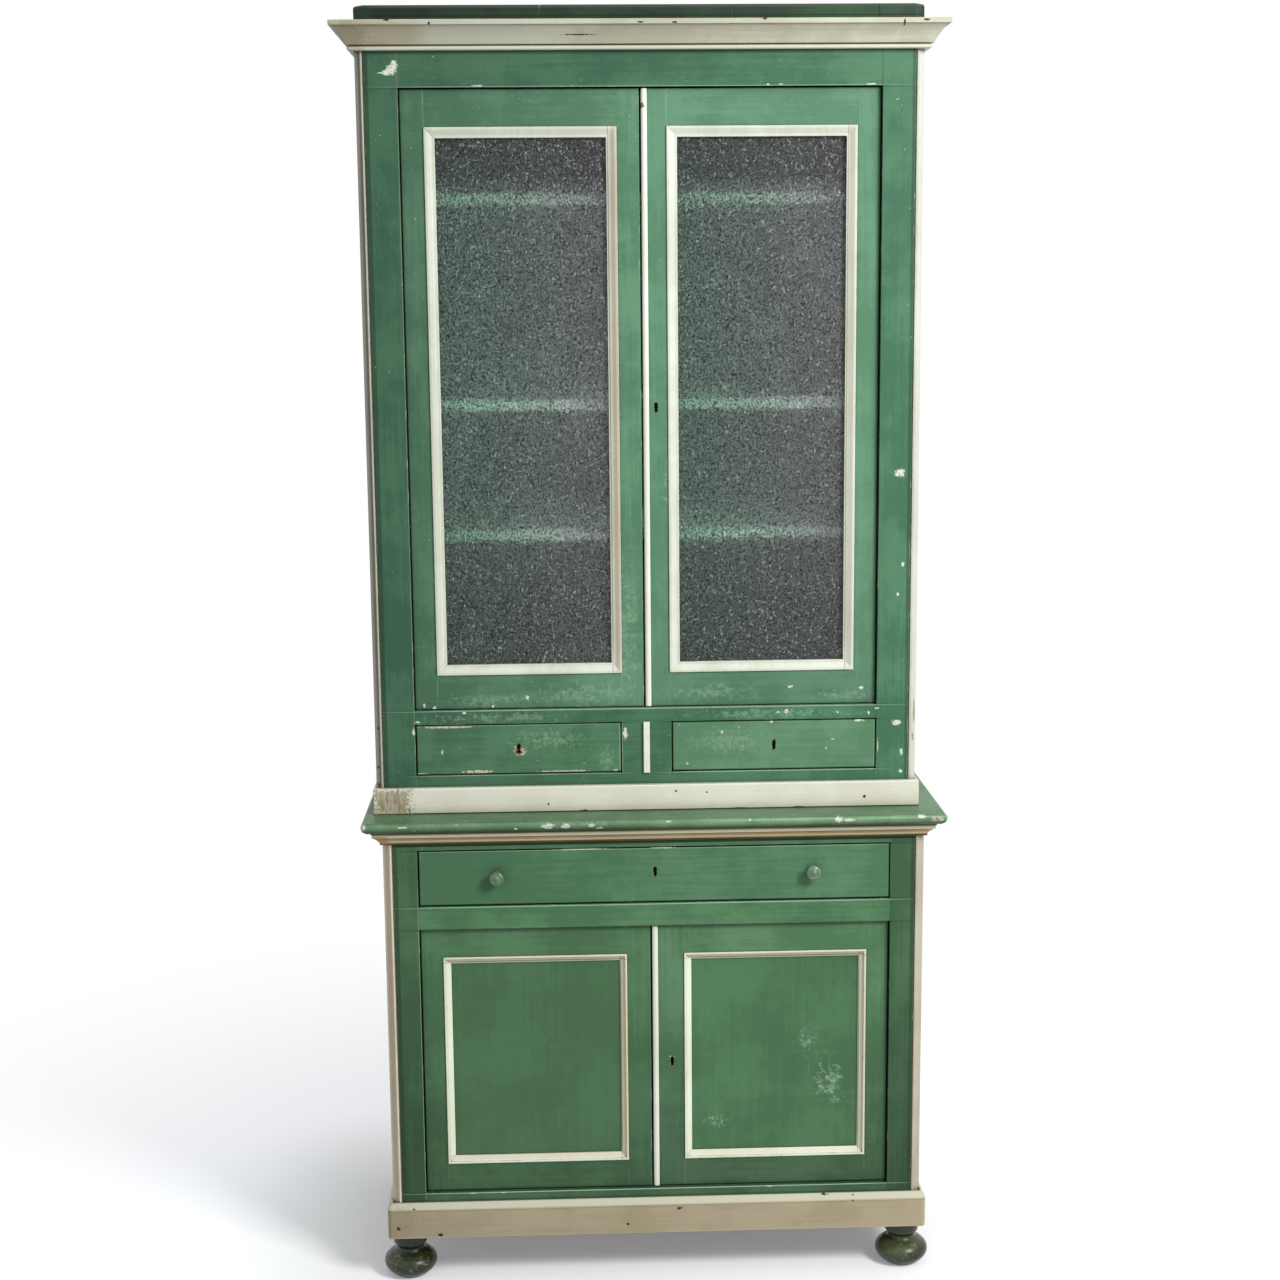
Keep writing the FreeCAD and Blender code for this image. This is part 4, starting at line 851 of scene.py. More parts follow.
# %% Cream paint of the posts
# Painted light and shade: left post darker, a painted shade band on its outer face, highlights on edge and
# beads
post_cream = cream(
    "hutch post cream", (188, 194, 177), (206, 212, 197), sides=(0.72, 1.0), wear=0.7, dirt=0.8,
    nails=[
        (-0.4478, 0.9566, 0.0018, 0.0026), (-0.4498, 0.8902, 0.0018, 0.0026),
        (-0.4500, 0.8609, 0.0018, 0.0034),
    ],
    bare=[(0.4447, 0.9721, 0.0015, 0.0200), (0.4427, 0.9278, 0.0020, 0.0062)], wood=(120, 96, 76),
    washes=[
        ((-0.4468, 1.45, 0.0019, 0.70), (124, 96, 74), 0.75),
        ((-0.4525, 1.45, 0.0015, 0.70), (208, 206, 190), 0.5),
        ((-0.4422, 1.45, 0.0013, 0.70), (228, 226, 202), 0.6),
        ((0.4445, 1.45, 0.0038, 0.70), (210, 208, 198), 0.55),
    ],
)
# Painted light and shade: left post lighter with a highlight on its bead, right post's canted face darker
base_post_cream = cream(
    "base post cream", (188, 182, 158), (206, 202, 180), sides=(1.55, 0.92), wear=0.65, dirt=0.8,
    washes=[
        ((-0.4366, 0.45, 0.0040, 0.34), (208, 176, 152), 0.7),
        ((-0.4293, 0.45, 0.0022, 0.34), (240, 230, 204), 0.6),
        ((0.4525, 0.45, 0.0045, 0.34), (190, 176, 154), 0.5),
    ],
)
wear_on(post_cream, "hutch_corner_posts")
wear_on(base_post_cream, "base_corner_posts")

# %% Cream paint of the plinths
# A painted shadow line along the bottom and a painted highlight along the top edge
hutch_plinth_cream = cream(
    "hutch plinth cream", (230, 227, 208), (239, 236, 220), rails=STROKES_LIE, wear=0.65, flecks=0.06,
    bare=[(-0.4270, 0.8345, 0.0290, 0.0200)], square=8.0, bareness=0.8, wood=(122, 104, 70),
    under=(180, 170, 138),
    washes=[
        ((0.0, 0.8137, ACROSS, 0.0010), (26, 30, 14), 0.95),
        ((0.0, 0.8553, ACROSS, 0.0006), (240, 244, 230), 0.6),
    ],
    nails=[
        (-0.1683, 0.8267, 0.0018, 0.0018), (0.0445, 0.8451, 0.0018, 0.0018),
        (-0.1079, 0.8146, 0.0060, 0.0014), (0.1500, 0.8140, 0.0160, 0.0012),
        (0.2500, 0.8142, 0.0120, 0.0014), (0.3600, 0.8300, 0.0026, 0.0026),
        (0.0960, 0.8420, 0.0016, 0.0016), (-0.3985, 0.8180, 0.0012, 0.0040),
    ],
)
# Painted shade: a little darker at left
plinth_cream = cream(
    "base plinth cream", (176, 163, 133), (188, 175, 146), rails=STROKES_LIE, sides=(0.94, 1.0), wear=0.45,
    flecks=0.05, grime=(96, 84, 58), pale=(212, 208, 184), rim=0.6,
    washes=[
        ((BASE_MIDDLE, 0.1364, ACROSS, 0.0046), (212, 211, 190), 0.85),
        ((BASE_MIDDLE, 0.1292, ACROSS, 0.0006), (128, 114, 84), 0.5),
        ((BASE_MIDDLE, 0.0817, ACROSS, 0.0007), (206, 196, 174), 0.6),
    ],
    bare=[(-0.4400, 0.1120, 0.0340, 0.0300)], bareness=0.22, wood=(134, 106, 66),
    nails=[
        (0.0443, 0.1244, 0.0036, 0.0024), (-0.0441, 0.0976, 0.0026, 0.0024),
        (-0.4343, 0.0989, 0.0030, 0.0030), (-0.4063, 0.1325, 0.0022, 0.0022),
        (-0.3634, 0.0861, 0.0044, 0.0028), (0.2925, 0.1398, 0.0047, 0.0016),
        (0.3415, 0.1380, 0.0018, 0.0010), (0.3410, 0.1300, 0.0012, 0.0018),
        (0.2999, 0.1390, 0.0014, 0.0012),
    ],
)
wear_on(hutch_plinth_cream, "hutch_plinth")
wear_on(plinth_cream, "base_plinth")

# %% Cream paint of the counter moulding and the cornice
# Painted light and shade in bands: shadow under the nose and at the foot, highlights on fillet and round,
# shade in the hollow
under_cream = cream(
    "counter moulding cream", (208, 176, 132), (228, 198, 154), rails=STROKES_LIE, flecks=0.04, wear=0.45,
    grime=(92, 72, 46), pale=(232, 222, 190),
    washes=[
        ((BASE_MIDDLE, 0.7930, ACROSS, 0.0024), (48, 56, 26), 0.9),
        ((BASE_MIDDLE, 0.7862, ACROSS, 0.0024), (255, 252, 222), 1.0),
        ((BASE_MIDDLE, 0.7825, ACROSS, 0.0012), (150, 118, 76), 0.7),
        ((BASE_MIDDLE, 0.7755, ACROSS, 0.0016), (240, 224, 180), 0.85),
        ((BASE_MIDDLE, 0.7712, ACROSS, 0.0018), (48, 54, 22), 0.9),
        ((-0.4560, 0.7790, 0.0240, 0.0080), (190, 128, 80), 0.6),
    ],
)
# Painted light and shade: darker at left, lighter at right, a painted highlight on the bottom bead
cornice_cream = cream(
    "cornice cream", (190, 187, 164), (206, 206, 185), rails=STROKES_LIE, sides=(0.86, 1.10), dirt=0.4,
    bare=[(-0.4650, 2.0560, 0.0300, 0.0260)], bareness=0.35, wood=(120, 100, 70),
    washes=[
        ((0.0, 2.0440, ACROSS, 0.0030), (222, 228, 208), 0.6),
        ((-0.44, 2.064, 0.09, 0.016), (160, 146, 112), 0.5),
    ],
    nails=[
        (-0.3989, 2.0837, 0.0062, 0.0015), (0.1886, 2.0838, 0.0045, 0.0020),
        (-0.3335, 2.0787, 0.0020, 0.0020), (-0.0046, 2.0795, 0.0050, 0.0014),
        (0.0482, 2.0790, 0.0040, 0.0014), (0.4087, 2.0780, 0.0012, 0.0060),
        (-0.1021, 2.0628, 0.0220, 0.0009), (0.4428, 2.0815, 0.0040, 0.0014),
    ],
)
wear_on(under_cream, "counter_moulding")
wear_on(cornice_cream, "cornice")

# %% Cream paint of the beads, panel mouldings and strips
# Painted light and shade on the legs: darker tan bands facing away from the light, dark shadow lines inside
bead_cream = cream(
    "glazing bead cream", (212, 216, 198), (227, 232, 216), wear=0.5, dirt=1.0,
    washes=[
        ((-0.0480, 1.484, 0.0050, 0.44), (192, 168, 138), 0.6),
        ((-0.0572, 1.484, 0.0012, 0.43), (112, 90, 60), 0.7),
        ((-0.3440, 1.484, 0.0050, 0.44), (190, 198, 180), 0.4),
        ((0.3345, 1.484, 0.0050, 0.44), (206, 198, 176), 0.4),
        ((0.3278, 1.484, 0.0012, 0.43), (106, 90, 66), 0.6),
    ],
)
# Painted light and shade on the legs: tan and pale bands, and inner dark lines, part dirt and part shadow
panel_mould_cream = cream(
    "panel moulding cream", (236, 242, 216), (246, 252, 232), wear=0.5, dirt=0.9,
    washes=[
        ((-0.0452, 0.389, 0.0045, 0.175), (232, 206, 166), 0.6),
        ((-0.0520, 0.389, 0.0012, 0.172), (84, 62, 34), 0.75),
        ((0.3580, 0.389, 0.0042, 0.175), (230, 212, 178), 0.6),
        ((0.3512, 0.389, 0.0010, 0.172), (84, 66, 40), 0.6),
        ((0.2088, 0.5622, 0.145, 0.0014), (122, 98, 60), 0.7),
        ((-0.1943, 0.5622, 0.145, 0.0014), (122, 98, 60), 0.7),
        ((0.2088, 0.5680, 0.150, 0.0030), (236, 214, 176), 0.5),
        ((-0.1943, 0.5680, 0.150, 0.0030), (236, 212, 172), 0.6),
        ((-0.1943, 0.2150, 0.150, 0.0034), (218, 198, 178), 0.6),
        ((0.2088, 0.2150, 0.150, 0.0034), (226, 208, 188), 0.45),
        ((-0.1943, 0.2192, 0.140, 0.0010), (96, 80, 52), 0.5),
    ],
)
strip_cream = cream(
    "meeting strip cream", (234, 236, 218), (244, 247, 233), wear=0.55, dirt=0.5,
    chips=[(-0.0023, 1.9567, 0.0034, 0.0044)],
)
wear_on(bead_cream, "hutch_door_left_beads", "hutch_door_right_beads")
wear_on(panel_mould_cream, "base_door_left_moulding", "base_door_right_moulding")
wear_on(strip_cream, "base_door_strip", "hutch_door_strip", "hutch_centre_strip")

# %% [markdown]
# ## Boards that were never painted
#
# The base's back and floor, the dust boards and the drawer boxes are bare
# pine on both faces. The stretch turns the grain the way each board runs.
# The shelves of the hutch are painted: through the glass they show as pale
# bands, so they get the cream recipe.

# %% Pine boards, by the way their grain runs
BROWN_DIRT_AND_SHADE = (52, 38, 24)


def pine(name, stretch, early=EARLY_WOOD, late=LATE_WOOD, dirt=0.6, boards=ONE_BOARD):
    """Unpainted board, its grain drawn out by the stretch."""
    made, bench = start_material(name)
    grain = use(bench, pine_grain, pine_values(stretch, early, late, boards))
    edges = use(bench, worn_edges, {"Radius": 0.0015, "Amount": 0.3})
    # Dirt and painted shade in the corners
    dirty = bench.sum("MULTIPLY", edges["Corner Dirt And Shade"], dirt, clamp=True)
    values = {"Base Color": bench.blend(dirty, grain["Colour"], tint(*BROWN_DIRT_AND_SHADE))}
    values["Roughness"] = grain["Roughness"]
    values["Normal"] = raise_bump(bench, grain["Height"], 0.0004, 0.5, edges["Normal"])
    return finish_material(made, bench, values)


pine_up = pine("pine upright", GRAIN_UP, boards=BASE_BOARDS)
pine_across = pine("pine across", GRAIN_ACROSS)
pine_deep = pine("pine front to back", GRAIN_DEEP, early=(188, 152, 106))
shelf_paint = cream("shelf cream", (232, 240, 228), (243, 248, 238), rails=STROKES_LIE, wear=0.4, dirt=0.2)
wear_on(pine_up, "base_back_boards")
wear_on(pine_across, "base_floor", "base_shelf", "base_dust_board", "hutch_dust_boards")
wear_on(pine_deep, "big_drawer_box", "small_drawer_left_box", "small_drawer_right_box")
wear_on(pine_deep, "base_bearers", "hutch_bearers")
wear_on(shelf_paint, "hutch_shelves")

# %% [markdown]
# ## Obscured glass
#
# The panes are rolled glass: one face carries a fine, crackled relief, so
# only blurred bands of the shelves show through. A mesh relief would need
# millions of faces, so the relief is drawn from the same veins: as a bump
# that breaks up what is behind, as dark lines in the colour where the veins
# run, as a coat that glints on the crests between them, and as a painted
# glint, paler colour on the same crests. Dust lies on the panes, and painted
# light and shade make them darker at the top, right under the top rail and
# low down, and a little darker towards the right; their tone is deeper and
# greener towards the left edge.

# %% Veins, cracks and crests of the glass
rolled_glass, bench = start_material("rolled glass")
place = bench.put("TexCoord").outputs["Object"]
push = bench.put("TexNoise", {"Vector": place, "Scale": 150.0, "Detail": 2.0}).outputs["Color"]
bent = bench.stretched(place, 1.0, 0.2, 0.8)
bent = bench.vector("ADD", bent, bench.stretched(push, 0.005, 0.005, 0.005))
cells = bench.put("TexVoronoi", {"Vector": bent, "Scale": 205.0}, feature="DISTANCE_TO_EDGE")
veins = cells.outputs["Distance"]
ripple = bench.noise(bent, 300.0, 3.0, 0.7)
cracks = bench.sum("MULTIPLY", bench.spread(veins, 0.14, 0.03), bench.spread(ripple, 0.56, 0.46))
crests = bench.spread(bench.noise(bent, 260.0, 2.0, 0.6), 0.54, 0.62)
glint = bench.sum("MULTIPLY", crests, bench.spread(veins, 0.05, 0.15))
relief = bench.sum("SUBTRACT", ripple, bench.sum("MULTIPLY", cracks, 0.35))
print("glass relief, nodes:", len(bench.tree.nodes))

# %% Painted light and shade, and dust, over each pane
# How far the middle of each pane is from the middle of the hutch
PANE_FROM_MIDDLE = 0.19
parts = bench.put("SeparateXYZ", {0: place}).outputs
left_or_right = bench.put("Math", {0: parts["X"]}, operation="SIGN").outputs[0]
middle = bench.sum("ADD", bench.sum("MULTIPLY", left_or_right, PANE_FROM_MIDDLE), HUTCH_MIDDLE)
to_right = bench.spread(bench.sum("SUBTRACT", parts["X"], middle), -0.13, 0.14)
# Painted shade: darker high up, right under the top rail, low down and a little towards the right
high_up = bench.spread(parts["Z"], 1.66, 1.83, 1.0, 0.88)
under_rail = bench.spread(parts["Z"], 1.832, 1.85, 1.0, 0.6)
low_down = bench.spread(parts["Z"], 1.08, 1.34, 0.72, 1.0)
light = bench.sum("MULTIPLY", bench.sum("MULTIPLY", high_up, under_rail), low_down)
light = bench.sum("MULTIPLY", light, bench.spread(to_right, 0.0, 1.0, 1.0, 0.92))
dust = bench.spread(bench.noise(place, 9.0, 4.0, 0.6), 0.3, 0.7, 0.95, 1.12)
light = bench.sum("MULTIPLY", light, dust)
lights = bench.put("CombineColor", {0: light, 1: light, 2: light}).outputs[0]
print("light on the glass, nodes:", len(bench.tree.nodes))

# %% The finished glass
DEEP_LEFT, DEEP_RIGHT, CRACK = (120, 170, 148), (204, 214, 210), (12, 20, 16)
CLEAR_LEFT, CLEAR_RIGHT, PAINTED_GLINT_LEFT = (228, 255, 244), (250, 255, 255), (226, 255, 244)
deep = bench.blend(to_right, tint(*DEEP_LEFT), tint(*DEEP_RIGHT))
clear = bench.blend(to_right, tint(*CLEAR_LEFT), tint(*CLEAR_RIGHT))
film = bench.blend(bench.spread(ripple, 0.38, 0.62), deep, clear)
film = bench.blend(1.0, film, lights, "MULTIPLY")
film = bench.blend(bench.sum("MULTIPLY", cracks, 0.92), film, tint(*CRACK))
# A painted glint: paler colour on the crests where the coat glints
painted_glint_tone = bench.blend(to_right, tint(*PAINTED_GLINT_LEFT), tint(*CLEAR_RIGHT))
film = bench.blend(bench.sum("MULTIPLY", glint, 0.9), film, painted_glint_tone)
finish_material(
    rolled_glass, bench,
    {
        "Base Color": film, "Roughness": bench.spread(ripple, 0.3, 0.7, 0.28, 0.32),
        "Transmission Weight": 0.94, "IOR": 1.45, "Specular IOR Level": 0.15,
        "Coat Weight": glint, "Coat IOR": 2.1, "Coat Roughness": 0.3,
        "Normal": raise_bump(bench, relief, 0.0002, 1.0),
    },
)
wear_on(rolled_glass, "hutch_door_left_glass", "hutch_door_right_glass")

# %% [markdown]
# ## Iron and steel
#
# The lock cases, bolt plates and pivots are blacksmith's iron, brown where
# rust has started. The bolts slide, so they are rubbed bright along their
# length. Both are the same recipe: metal that turns dull and brown under a
# rust mask.

# %% Metals
DEEP_RUST = (50, 38, 30)


def metal(name, clean, rust, rusted, shine):
    """Metal under a patchy coat of rust."""
    made, bench = start_material(name)
    place = bench.put("TexCoord").outputs["Object"]
    edges = use(bench, worn_edges, {"Radius": 0.0008, "Amount": 0.6})
    spots = bench.noise(place, 160.0, 6.0, 0.7)
    rub = bench.noise(bench.stretched(place, 90.0, 90.0, 900.0), 1.0, 3.0, 0.6)
    coat = bench.spread(spots, 0.64 - rusted * 0.4, 0.72 - rusted * 0.3)
    coat = bench.sum("MULTIPLY", coat, bench.sum("SUBTRACT", 1.0, edges["Worn"]))
    brown = bench.blend(bench.spread(spots, 0.4, 0.7), tint(*rust), tint(*DEEP_RUST))
    height = bench.sum("ADD", bench.sum("MULTIPLY", coat, spots), bench.sum("MULTIPLY", rub, 0.2))
    rough = bench.spread(rub, 0.3, 0.7, shine, shine + 0.12)
    values = {"Base Color": bench.blend(coat, tint(*clean), brown)}
    values["Metallic"] = bench.sum("SUBTRACT", 1.0, bench.sum("MULTIPLY", coat, 0.8))
    values["Roughness"] = bench.sum("ADD", rough, bench.sum("MULTIPLY", coat, 0.3))
    values["Normal"] = raise_bump(bench, height, 0.0003, 0.6, edges["Normal"])
    return finish_material(made, bench, values)


iron = metal("iron", (92, 90, 86), (104, 64, 38), 0.55, 0.38)
steel = metal("rubbed steel", (168, 166, 160), (112, 84, 62), 0.22, 0.28)
wear_on(
    iron, "base_door_lock", "hutch_door_lock", "base_door_bolt_plate", "hutch_door_bolt_plate",
    "door_pivots", "big_drawer_lock", "small_drawer_left_lock", "small_drawer_right_lock",
)
wear_on(
    steel, "base_door_lock_bolt", "hutch_door_lock_bolt", "big_drawer_lock_bolt",
    "small_drawer_left_lock_bolt", "small_drawer_right_lock_bolt", "base_door_slide_bolt",
    "hutch_door_slide_bolt",
)

# %% [markdown]
# ## Turning on the lathe
#
# Feet and knobs were turned on a lathe. In Blender a turned piece can be a
# profile swept by Screw or Spin; here a disc is pulled up ring by ring, each
# ring extruded and scaled to the next radius, which is closest to how the
# gouge works along the blank.

# %% The lathe


def between(rings, steps):
    """Fills in a profile of (height, radius) with a smooth curve."""
    smooth = []
    for n in range(len(rings) - 1):
        before, here = rings[max(n - 1, 0)], rings[n]
        after, beyond = rings[n + 1], rings[min(n + 2, len(rings) - 1)]
        for step in range(steps):
            t = step / steps
            point = []
            for a, b, c, d in zip(before, here, after, beyond):
                curve = 2 * b + (c - a) * t + (2 * a - 5 * b + 4 * c - d) * t ** 2
                point.append((curve + (3 * b - a - 3 * c + d) * t ** 3) / 2)
            smooth.append(tuple(point))
    return smooth + [rings[-1]]


def turn(name, rings, sides):
    """A closed turned piece that stands on the origin along Z."""
    bpy.ops.object.select_all(action="DESELECT")
    height, radius = rings[0]
    bpy.ops.mesh.primitive_circle_add(
        vertices=sides, radius=radius, fill_type="NGON", location=(0, 0, height)
    )
    piece = bpy.context.object
    piece.name = name
    bpy.ops.object.mode_set(mode="EDIT")
    bpy.ops.mesh.select_all(action="SELECT")
    for next_height, next_radius in rings[1:]:
        bpy.ops.mesh.extrude_region_move(TRANSFORM_OT_translate={"value": (0, 0, next_height - height)})
        size = next_radius / radius
        bpy.ops.transform.resize(value=(size, size, 1), center_override=(0, 0, next_height))
        height, radius = next_height, next_radius
    bpy.ops.mesh.select_all(action="SELECT")
    bpy.ops.mesh.normals_make_consistent(inside=False)
    bpy.ops.object.mode_set(mode="OBJECT")
    bpy.ops.object.transform_apply(location=True, rotation=True, scale=True)
    bpy.ops.object.shade_smooth_by_angle(angle=radians(40))
    print("turned:", name, "faces:", len(piece.data.polygons))
    return piece


def copy_of(piece, name, place, rotation=(0, 0, 0)):
    """A copy with its own mesh, its place and turn put into the mesh."""
    bpy.ops.object.select_all(action="DESELECT")
    twin = piece.copy()
    twin.data = piece.data.copy()
    twin.name = name
    bpy.context.collection.objects.link(twin)
    twin.location = place
    twin.rotation_euler = rotation
    twin.select_set(True)
    bpy.context.view_layer.objects.active = twin
    bpy.ops.object.transform_apply(location=True, rotation=True, scale=True)
    return twin


def discard(piece):
    """Takes away a piece that only served to make others."""
    bpy.data.objects.remove(piece)


# %% [markdown]
# ## Bun feet
#
# The feet are squat balls with a short neck and a flared top, painted a
# green that is nearly black, and scuffed by brooms and shoes down to the
# undercoat. A fine groove over the neck marks where the turner ended the
# ball. The profile is a list of heights and radii in metres, from the floor
# up, and the curves between them are filled in.

# %% The profile of a foot
foot_rings = between(
    [
        (0.0, 0.0275), (0.0010, 0.0288), (0.0050, 0.0338), (0.0110, 0.0402), (0.0170, 0.0438),
        (0.0225, 0.0449), (0.0285, 0.0440), (0.0340, 0.0405), (0.0385, 0.0350), (0.0405, 0.0322),
    ],
    3,
)
foot_rings += between([(0.0410, 0.0306), (0.0425, 0.0270), (0.0450, 0.0238), (0.0480, 0.0222)], 2)
foot_rings += between([(0.0500, 0.0222), (0.0530, 0.0240), (0.0555, 0.0268), (0.0572, 0.0284)], 2)
foot_rings += [(0.0580, 0.0286), (0.0590, 0.0282), (0.0600, 0.0286)]
foot_rings += between([(0.0620, 0.0290), (0.0700, 0.0292), (0.0780, 0.0294), (0.0805, 0.0295)], 2)
print("foot rings:", len(foot_rings))

# %% The paint of the feet
# Painted light and shade: left feet lighter, right feet darker, darker towards the floor and in the neck
foot_paint = painted(
    "foot paint", (34, 42, 20), (78, 89, 54), rails=STROKES_LIE, wear=0.8, flecks=0.12, clouds=2.0,
    radius=0.004, sides=(1.20, 0.80), dust=0.75, under=(160, 164, 132), wood=(70, 58, 36), bright=0.4,
    rough=0.38, bump=0.9, gloss=0.4, rim=0.35, scuff=0.6, pale=(150, 152, 118), levels=(0.6, 1.0),
    heights=(0.0, 0.02), grime=(20, 24, 12), dirt=0.9,
    washes=[((0.0, 0.066, ACROSS, 0.020), (20, 26, 14), 0.5)],
)

# %% Turn one foot and stand four
LEFT_FEET, RIGHT_FEET, FRONT_FEET, BACK_FEET = -0.41825, 0.43275, -0.166, 0.190
foot = turn("foot", foot_rings, 64)
foot.data.materials.append(foot_paint)
foot_places = {
    "foot_front_left": (LEFT_FEET, FRONT_FEET), "foot_front_right": (RIGHT_FEET, FRONT_FEET),
    "foot_back_left": (LEFT_FEET, BACK_FEET), "foot_back_right": (RIGHT_FEET, BACK_FEET),
}
for name, (x, y) in foot_places.items():
    standing = copy_of(foot, name, (x, y, 0.0))
    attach(standing, "case")
    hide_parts("bun_feet")
discard(foot)

# %% [markdown]
# ## Drawer knobs
#
# Two small turned knobs with a ring and a button on the face. Their rims are
# paler, partly paint polished by hands and partly a painted highlight.

# %% Turn two knobs
knob_rings = [(0.0, 0.0095), (0.0012, 0.0098), (0.0022, 0.0094)]
knob_rings += between(
    [(0.0030, 0.0078), (0.0060, 0.0072), (0.0085, 0.0088), (0.0115, 0.0116), (0.0140, 0.01255)], 3
)
knob_rings += between([(0.0160, 0.0125), (0.0178, 0.0117), (0.0190, 0.0104), (0.0198, 0.0088)], 2)
knob_rings += between([(0.0196, 0.0080), (0.0194, 0.0070), (0.0200, 0.0060)], 2)
knob_rings += between(
    [(0.0205, 0.0050), (0.0204, 0.0042), (0.0212, 0.0034), (0.0219, 0.0018), (0.0220, 0.0004)], 2
)
knob_paint = painted(
    "knob paint", (84, 116, 84), (120, 150, 120), rails=STROKES_LIE, wear=0.7, flecks=0.25, radius=0.0015,
    under=(190, 204, 176), rough=0.30, gloss=0.5,
)
KNOB_FOOT, KNOB_HEIGHT = -0.2005, 0.7117
knob = turn("knob", knob_rings, 48)
knob.data.materials.append(knob_paint)
for name, x in {"knob_left": -0.25575, "knob_right": 0.27025}.items():
    fitted = copy_of(knob, name, (x, KNOB_FOOT, KNOB_HEIGHT), (radians(90), 0, 0))
    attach(fitted, "big_drawer")
    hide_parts("big_drawer_knobs")
discard(knob)

# %% [markdown]
# ## Screws
#
# The lock cases and bolt plates are held by slotted iron screws, two or four
# to a case. One is turned, its slot cut with a Boolean, and the rest are
# copies. A ray from inside the cupboard finds the face each one sits on, and
# every slot stands at its own angle, as real ones do.

# %% Turn one screw and cut its slot
screw_rings = [(-0.0010, 0.0010), (-0.0002, 0.0026), (0.0001, 0.0027), (0.0004, 0.0023), (0.0005, 0.0012)]
screw = turn("screw", screw_rings, 20)
bpy.ops.mesh.primitive_cube_add(size=1.0, location=(0, 0, 0.0005))
slot_cutter = bpy.context.object
bpy.ops.transform.resize(value=(0.0080, 0.0007, 0.0008))
bpy.ops.object.transform_apply(location=True, rotation=True, scale=True)
bpy.ops.object.select_all(action="DESELECT")
screw.select_set(True)
bpy.context.view_layer.objects.active = screw
slotted = screw.modifiers.new("slot", "BOOLEAN")
slotted.operation = "DIFFERENCE"
slotted.object = slot_cutter
bpy.ops.object.modifier_apply(modifier="slot")
discard(slot_cutter)
screw.data.materials.clear()
screw.data.materials.append(iron)
print("slotted screw, faces:", len(screw.data.polygons))

# %% Set the screws of the locks and bolts
# Screws stand this far in from a plate's edges, and rays start behind it
INSET_X, INSET_Z, BEHIND = 0.0045, 0.0050, 0.05
# A face that looks straight back has a normal close to 1 along y
FACES_BACK = 0.9
# Degrees from one slot to the next
SLOT_STEP = 47
fixings = {
    "base_door_lock": "base_door_right", "hutch_door_lock": "hutch_door_right",
    "base_door_bolt_plate": "base_door_left", "hutch_door_bolt_plate": "hutch_door_left",
    "big_drawer_lock": "big_drawer", "small_drawer_left_lock": "small_drawer_left",
    "small_drawer_right_lock": "small_drawer_right",
}
turned_to, set_screws = 20, 0
for plate, body in fixings.items():
    low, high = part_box(plate)
    across, up = (low.x + INSET_X, high.x - INSET_X), (low.z + INSET_Z, high.z - INSET_Z)
    for x, z in product(across, up):
        found, place, facing = nodes[plate].ray_cast((x, high.y + BEHIND, z), (0, -1, 0))[:3]
        turned_to += SLOT_STEP
        if found and facing.y > FACES_BACK:
            set_screws += 1
            name = plate + "_screw_" + str(set_screws)
            fixed = copy_of(screw, name, place, (radians(-90), radians(turned_to), 0))
            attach(fixed, body)
discard(screw)
print("screws:", set_screws)

# %% [markdown]
# ## The studio
#
# A plain pale floor, a big soft lamp high on the right and a grey sky for
# the rest. The floor and the sky look white to the camera and in
# reflections, but light the cupboard only as a pale room would, so the
# paint keeps its colour and the floor keeps the shadow. Close to the plinth
# the floor glows less, a painted shadow that makes the shadow deepest there.

# %% What sees the studio as white


def seen_white(bench):
    """1 for rays from the camera, through glass and off gloss, otherwise 0."""
    seen = bench.put("LightPath").outputs
    looked_at = bench.sum("MAXIMUM", seen["Is Camera Ray"], seen["Is Transmission Ray"])
    return bench.sum("MAXIMUM", looked_at, seen["Is Glossy Ray"])


# %% Floor
# The floor shows within 0.6 m and is plain white from 2 m on
WHITE_FROM, FLOOR_WITHIN = 2.0, 0.6
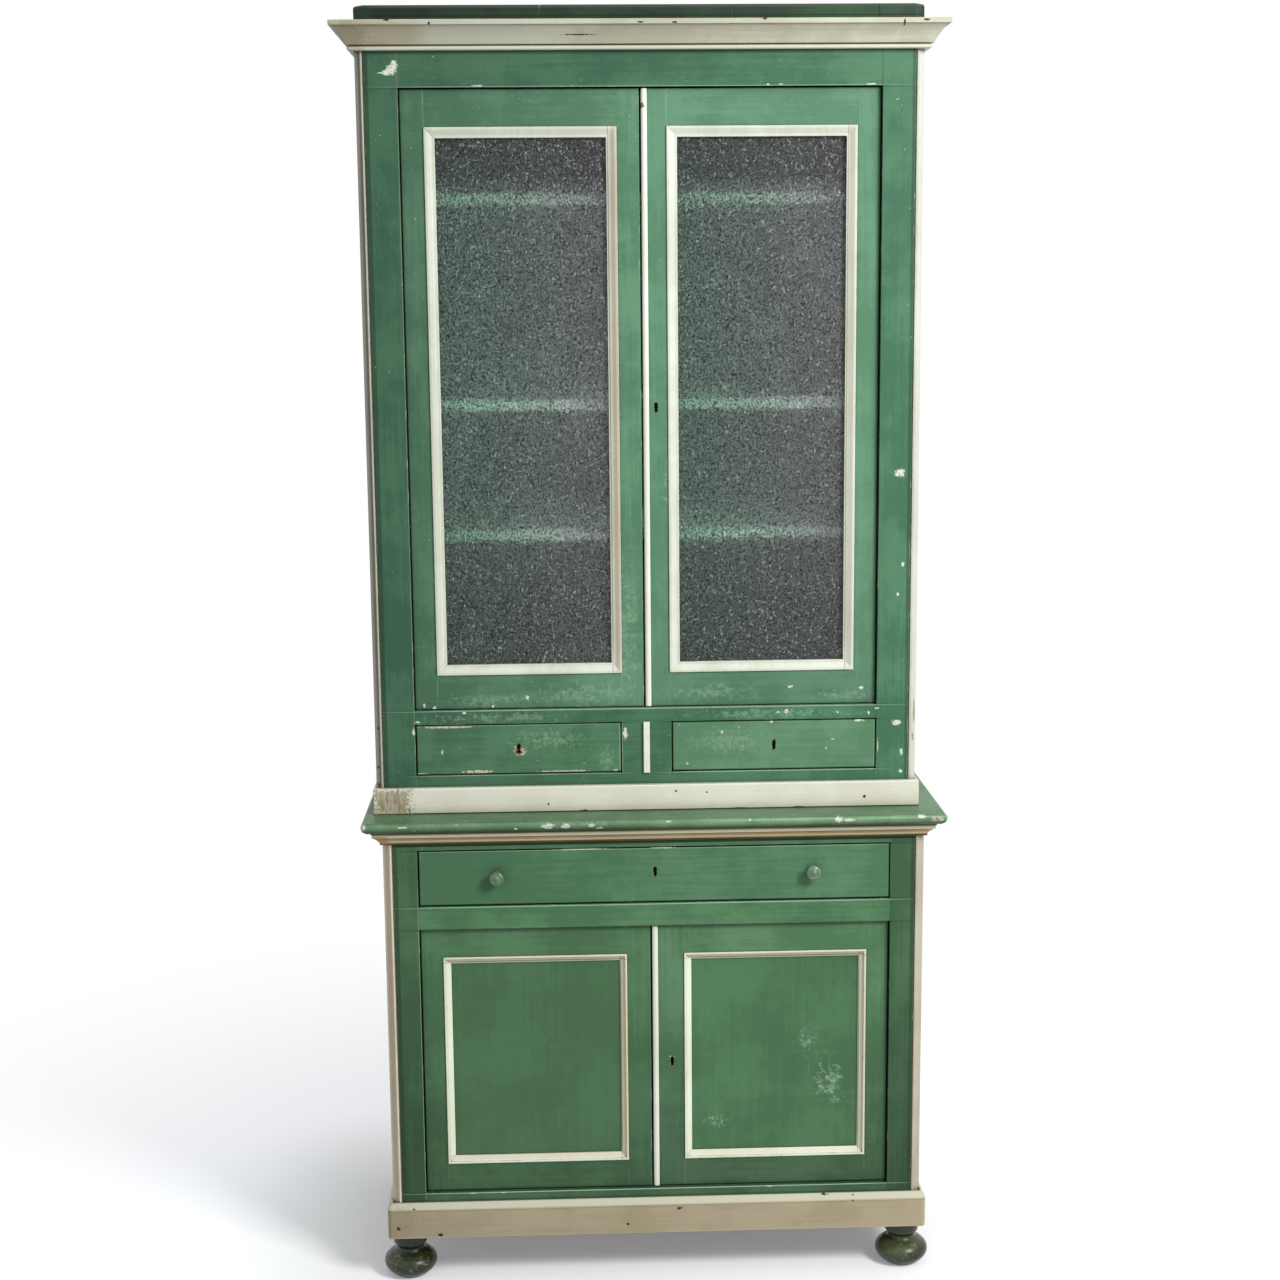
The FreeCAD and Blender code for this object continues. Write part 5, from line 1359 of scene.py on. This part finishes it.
# A painted shadow lies over this oblong, where the floor glows less, and fades out over the next 0.4 m
SHADE_SHIFT, SHADE_HALF, SHADE_FADE = (0.05, 0.0, 0.0), (0.42, 0.20, 0.0), 0.40
LIFT_CLOSE, LIFT_AWAY = 0.19, 0.44
bpy.ops.object.select_all(action="DESELECT")
bpy.ops.mesh.primitive_plane_add(size=60.0, location=(0, 0, 0))
floor = bpy.context.object
floor.name = "floor"
floor_finish, bench = start_material("floor")
where = bench.put("TexCoord").outputs["Object"]
near = bench.spread(bench.vector("LENGTH", where), WHITE_FROM, FLOOR_WITHIN)
beside = bench.vector("ABSOLUTE", bench.vector("ADD", where, SHADE_SHIFT))
beside = bench.vector("MAXIMUM", bench.vector("SUBTRACT", beside, SHADE_HALF))
glow_with_painted_shadow = bench.spread(bench.vector("LENGTH", beside), 0.0, SHADE_FADE, LIFT_CLOSE, LIFT_AWAY)
plain = bench.put("BsdfDiffuse", {"Color": (0.5, 0.5, 0.5, 1.0)})
white = bench.put("BsdfDiffuse", {"Color": (0.95, 0.95, 0.95, 1.0)})
lift = bench.put("Emission", {"Color": (0.93, 0.95, 1.0, 1.0), "Strength": glow_with_painted_shadow})
glow = bench.put("Emission", {"Color": (1.0, 1.0, 1.0, 1.0), "Strength": 1.0})
close = bench.put("AddShader", {0: white.outputs[0], 1: lift.outputs[0]})
shown = bench.put("MixShader", {0: near, 1: glow.outputs[0], 2: close.outputs[0]})
both = bench.put("MixShader", {0: seen_white(bench), 1: plain.outputs[0], 2: shown.outputs[0]})
bench.put("OutputMaterial", {"Surface": both.outputs[0]})
floor.data.materials.append(floor_finish)
print("floor:", tuple(floor.dimensions))

# %% Sky
world = bpy.data.worlds.new("studio")
bpy.context.scene.world = world
world.use_nodes = True
bench = Bench(world.node_tree)
grey = bench.put("Background", {"Color": (0.96, 0.98, 1.0, 1.0), "Strength": 0.48})
white = bench.put("Background", {"Color": (1.0, 1.0, 1.0, 1.0), "Strength": 1.0})
both = bench.put("MixShader", {0: seen_white(bench), 1: grey.outputs[0], 2: white.outputs[0]})
bench.put("OutputWorld", {"Surface": both.outputs[0]})
print("sky:", world.name)

# %% Lamp


def lamp(name, place, aim, size, power):
    """A square soft lamp that faces a point."""
    towards = (Vector(aim) - Vector(place)).to_track_quat("-Z", "Y")
    bpy.ops.object.light_add(type="AREA", location=place, rotation=towards.to_euler())
    made = bpy.context.object
    made.name = name
    made.data.shape = "SQUARE"
    made.data.size = size
    made.data.energy = power
    print("lamp:", name, power)


lamp("window", place=(2.15, -2.4, 2.9), aim=(0.0, -0.2, 1.1), size=1.1, power=112.0)
bpy.context.scene.view_settings.view_transform = "Standard"
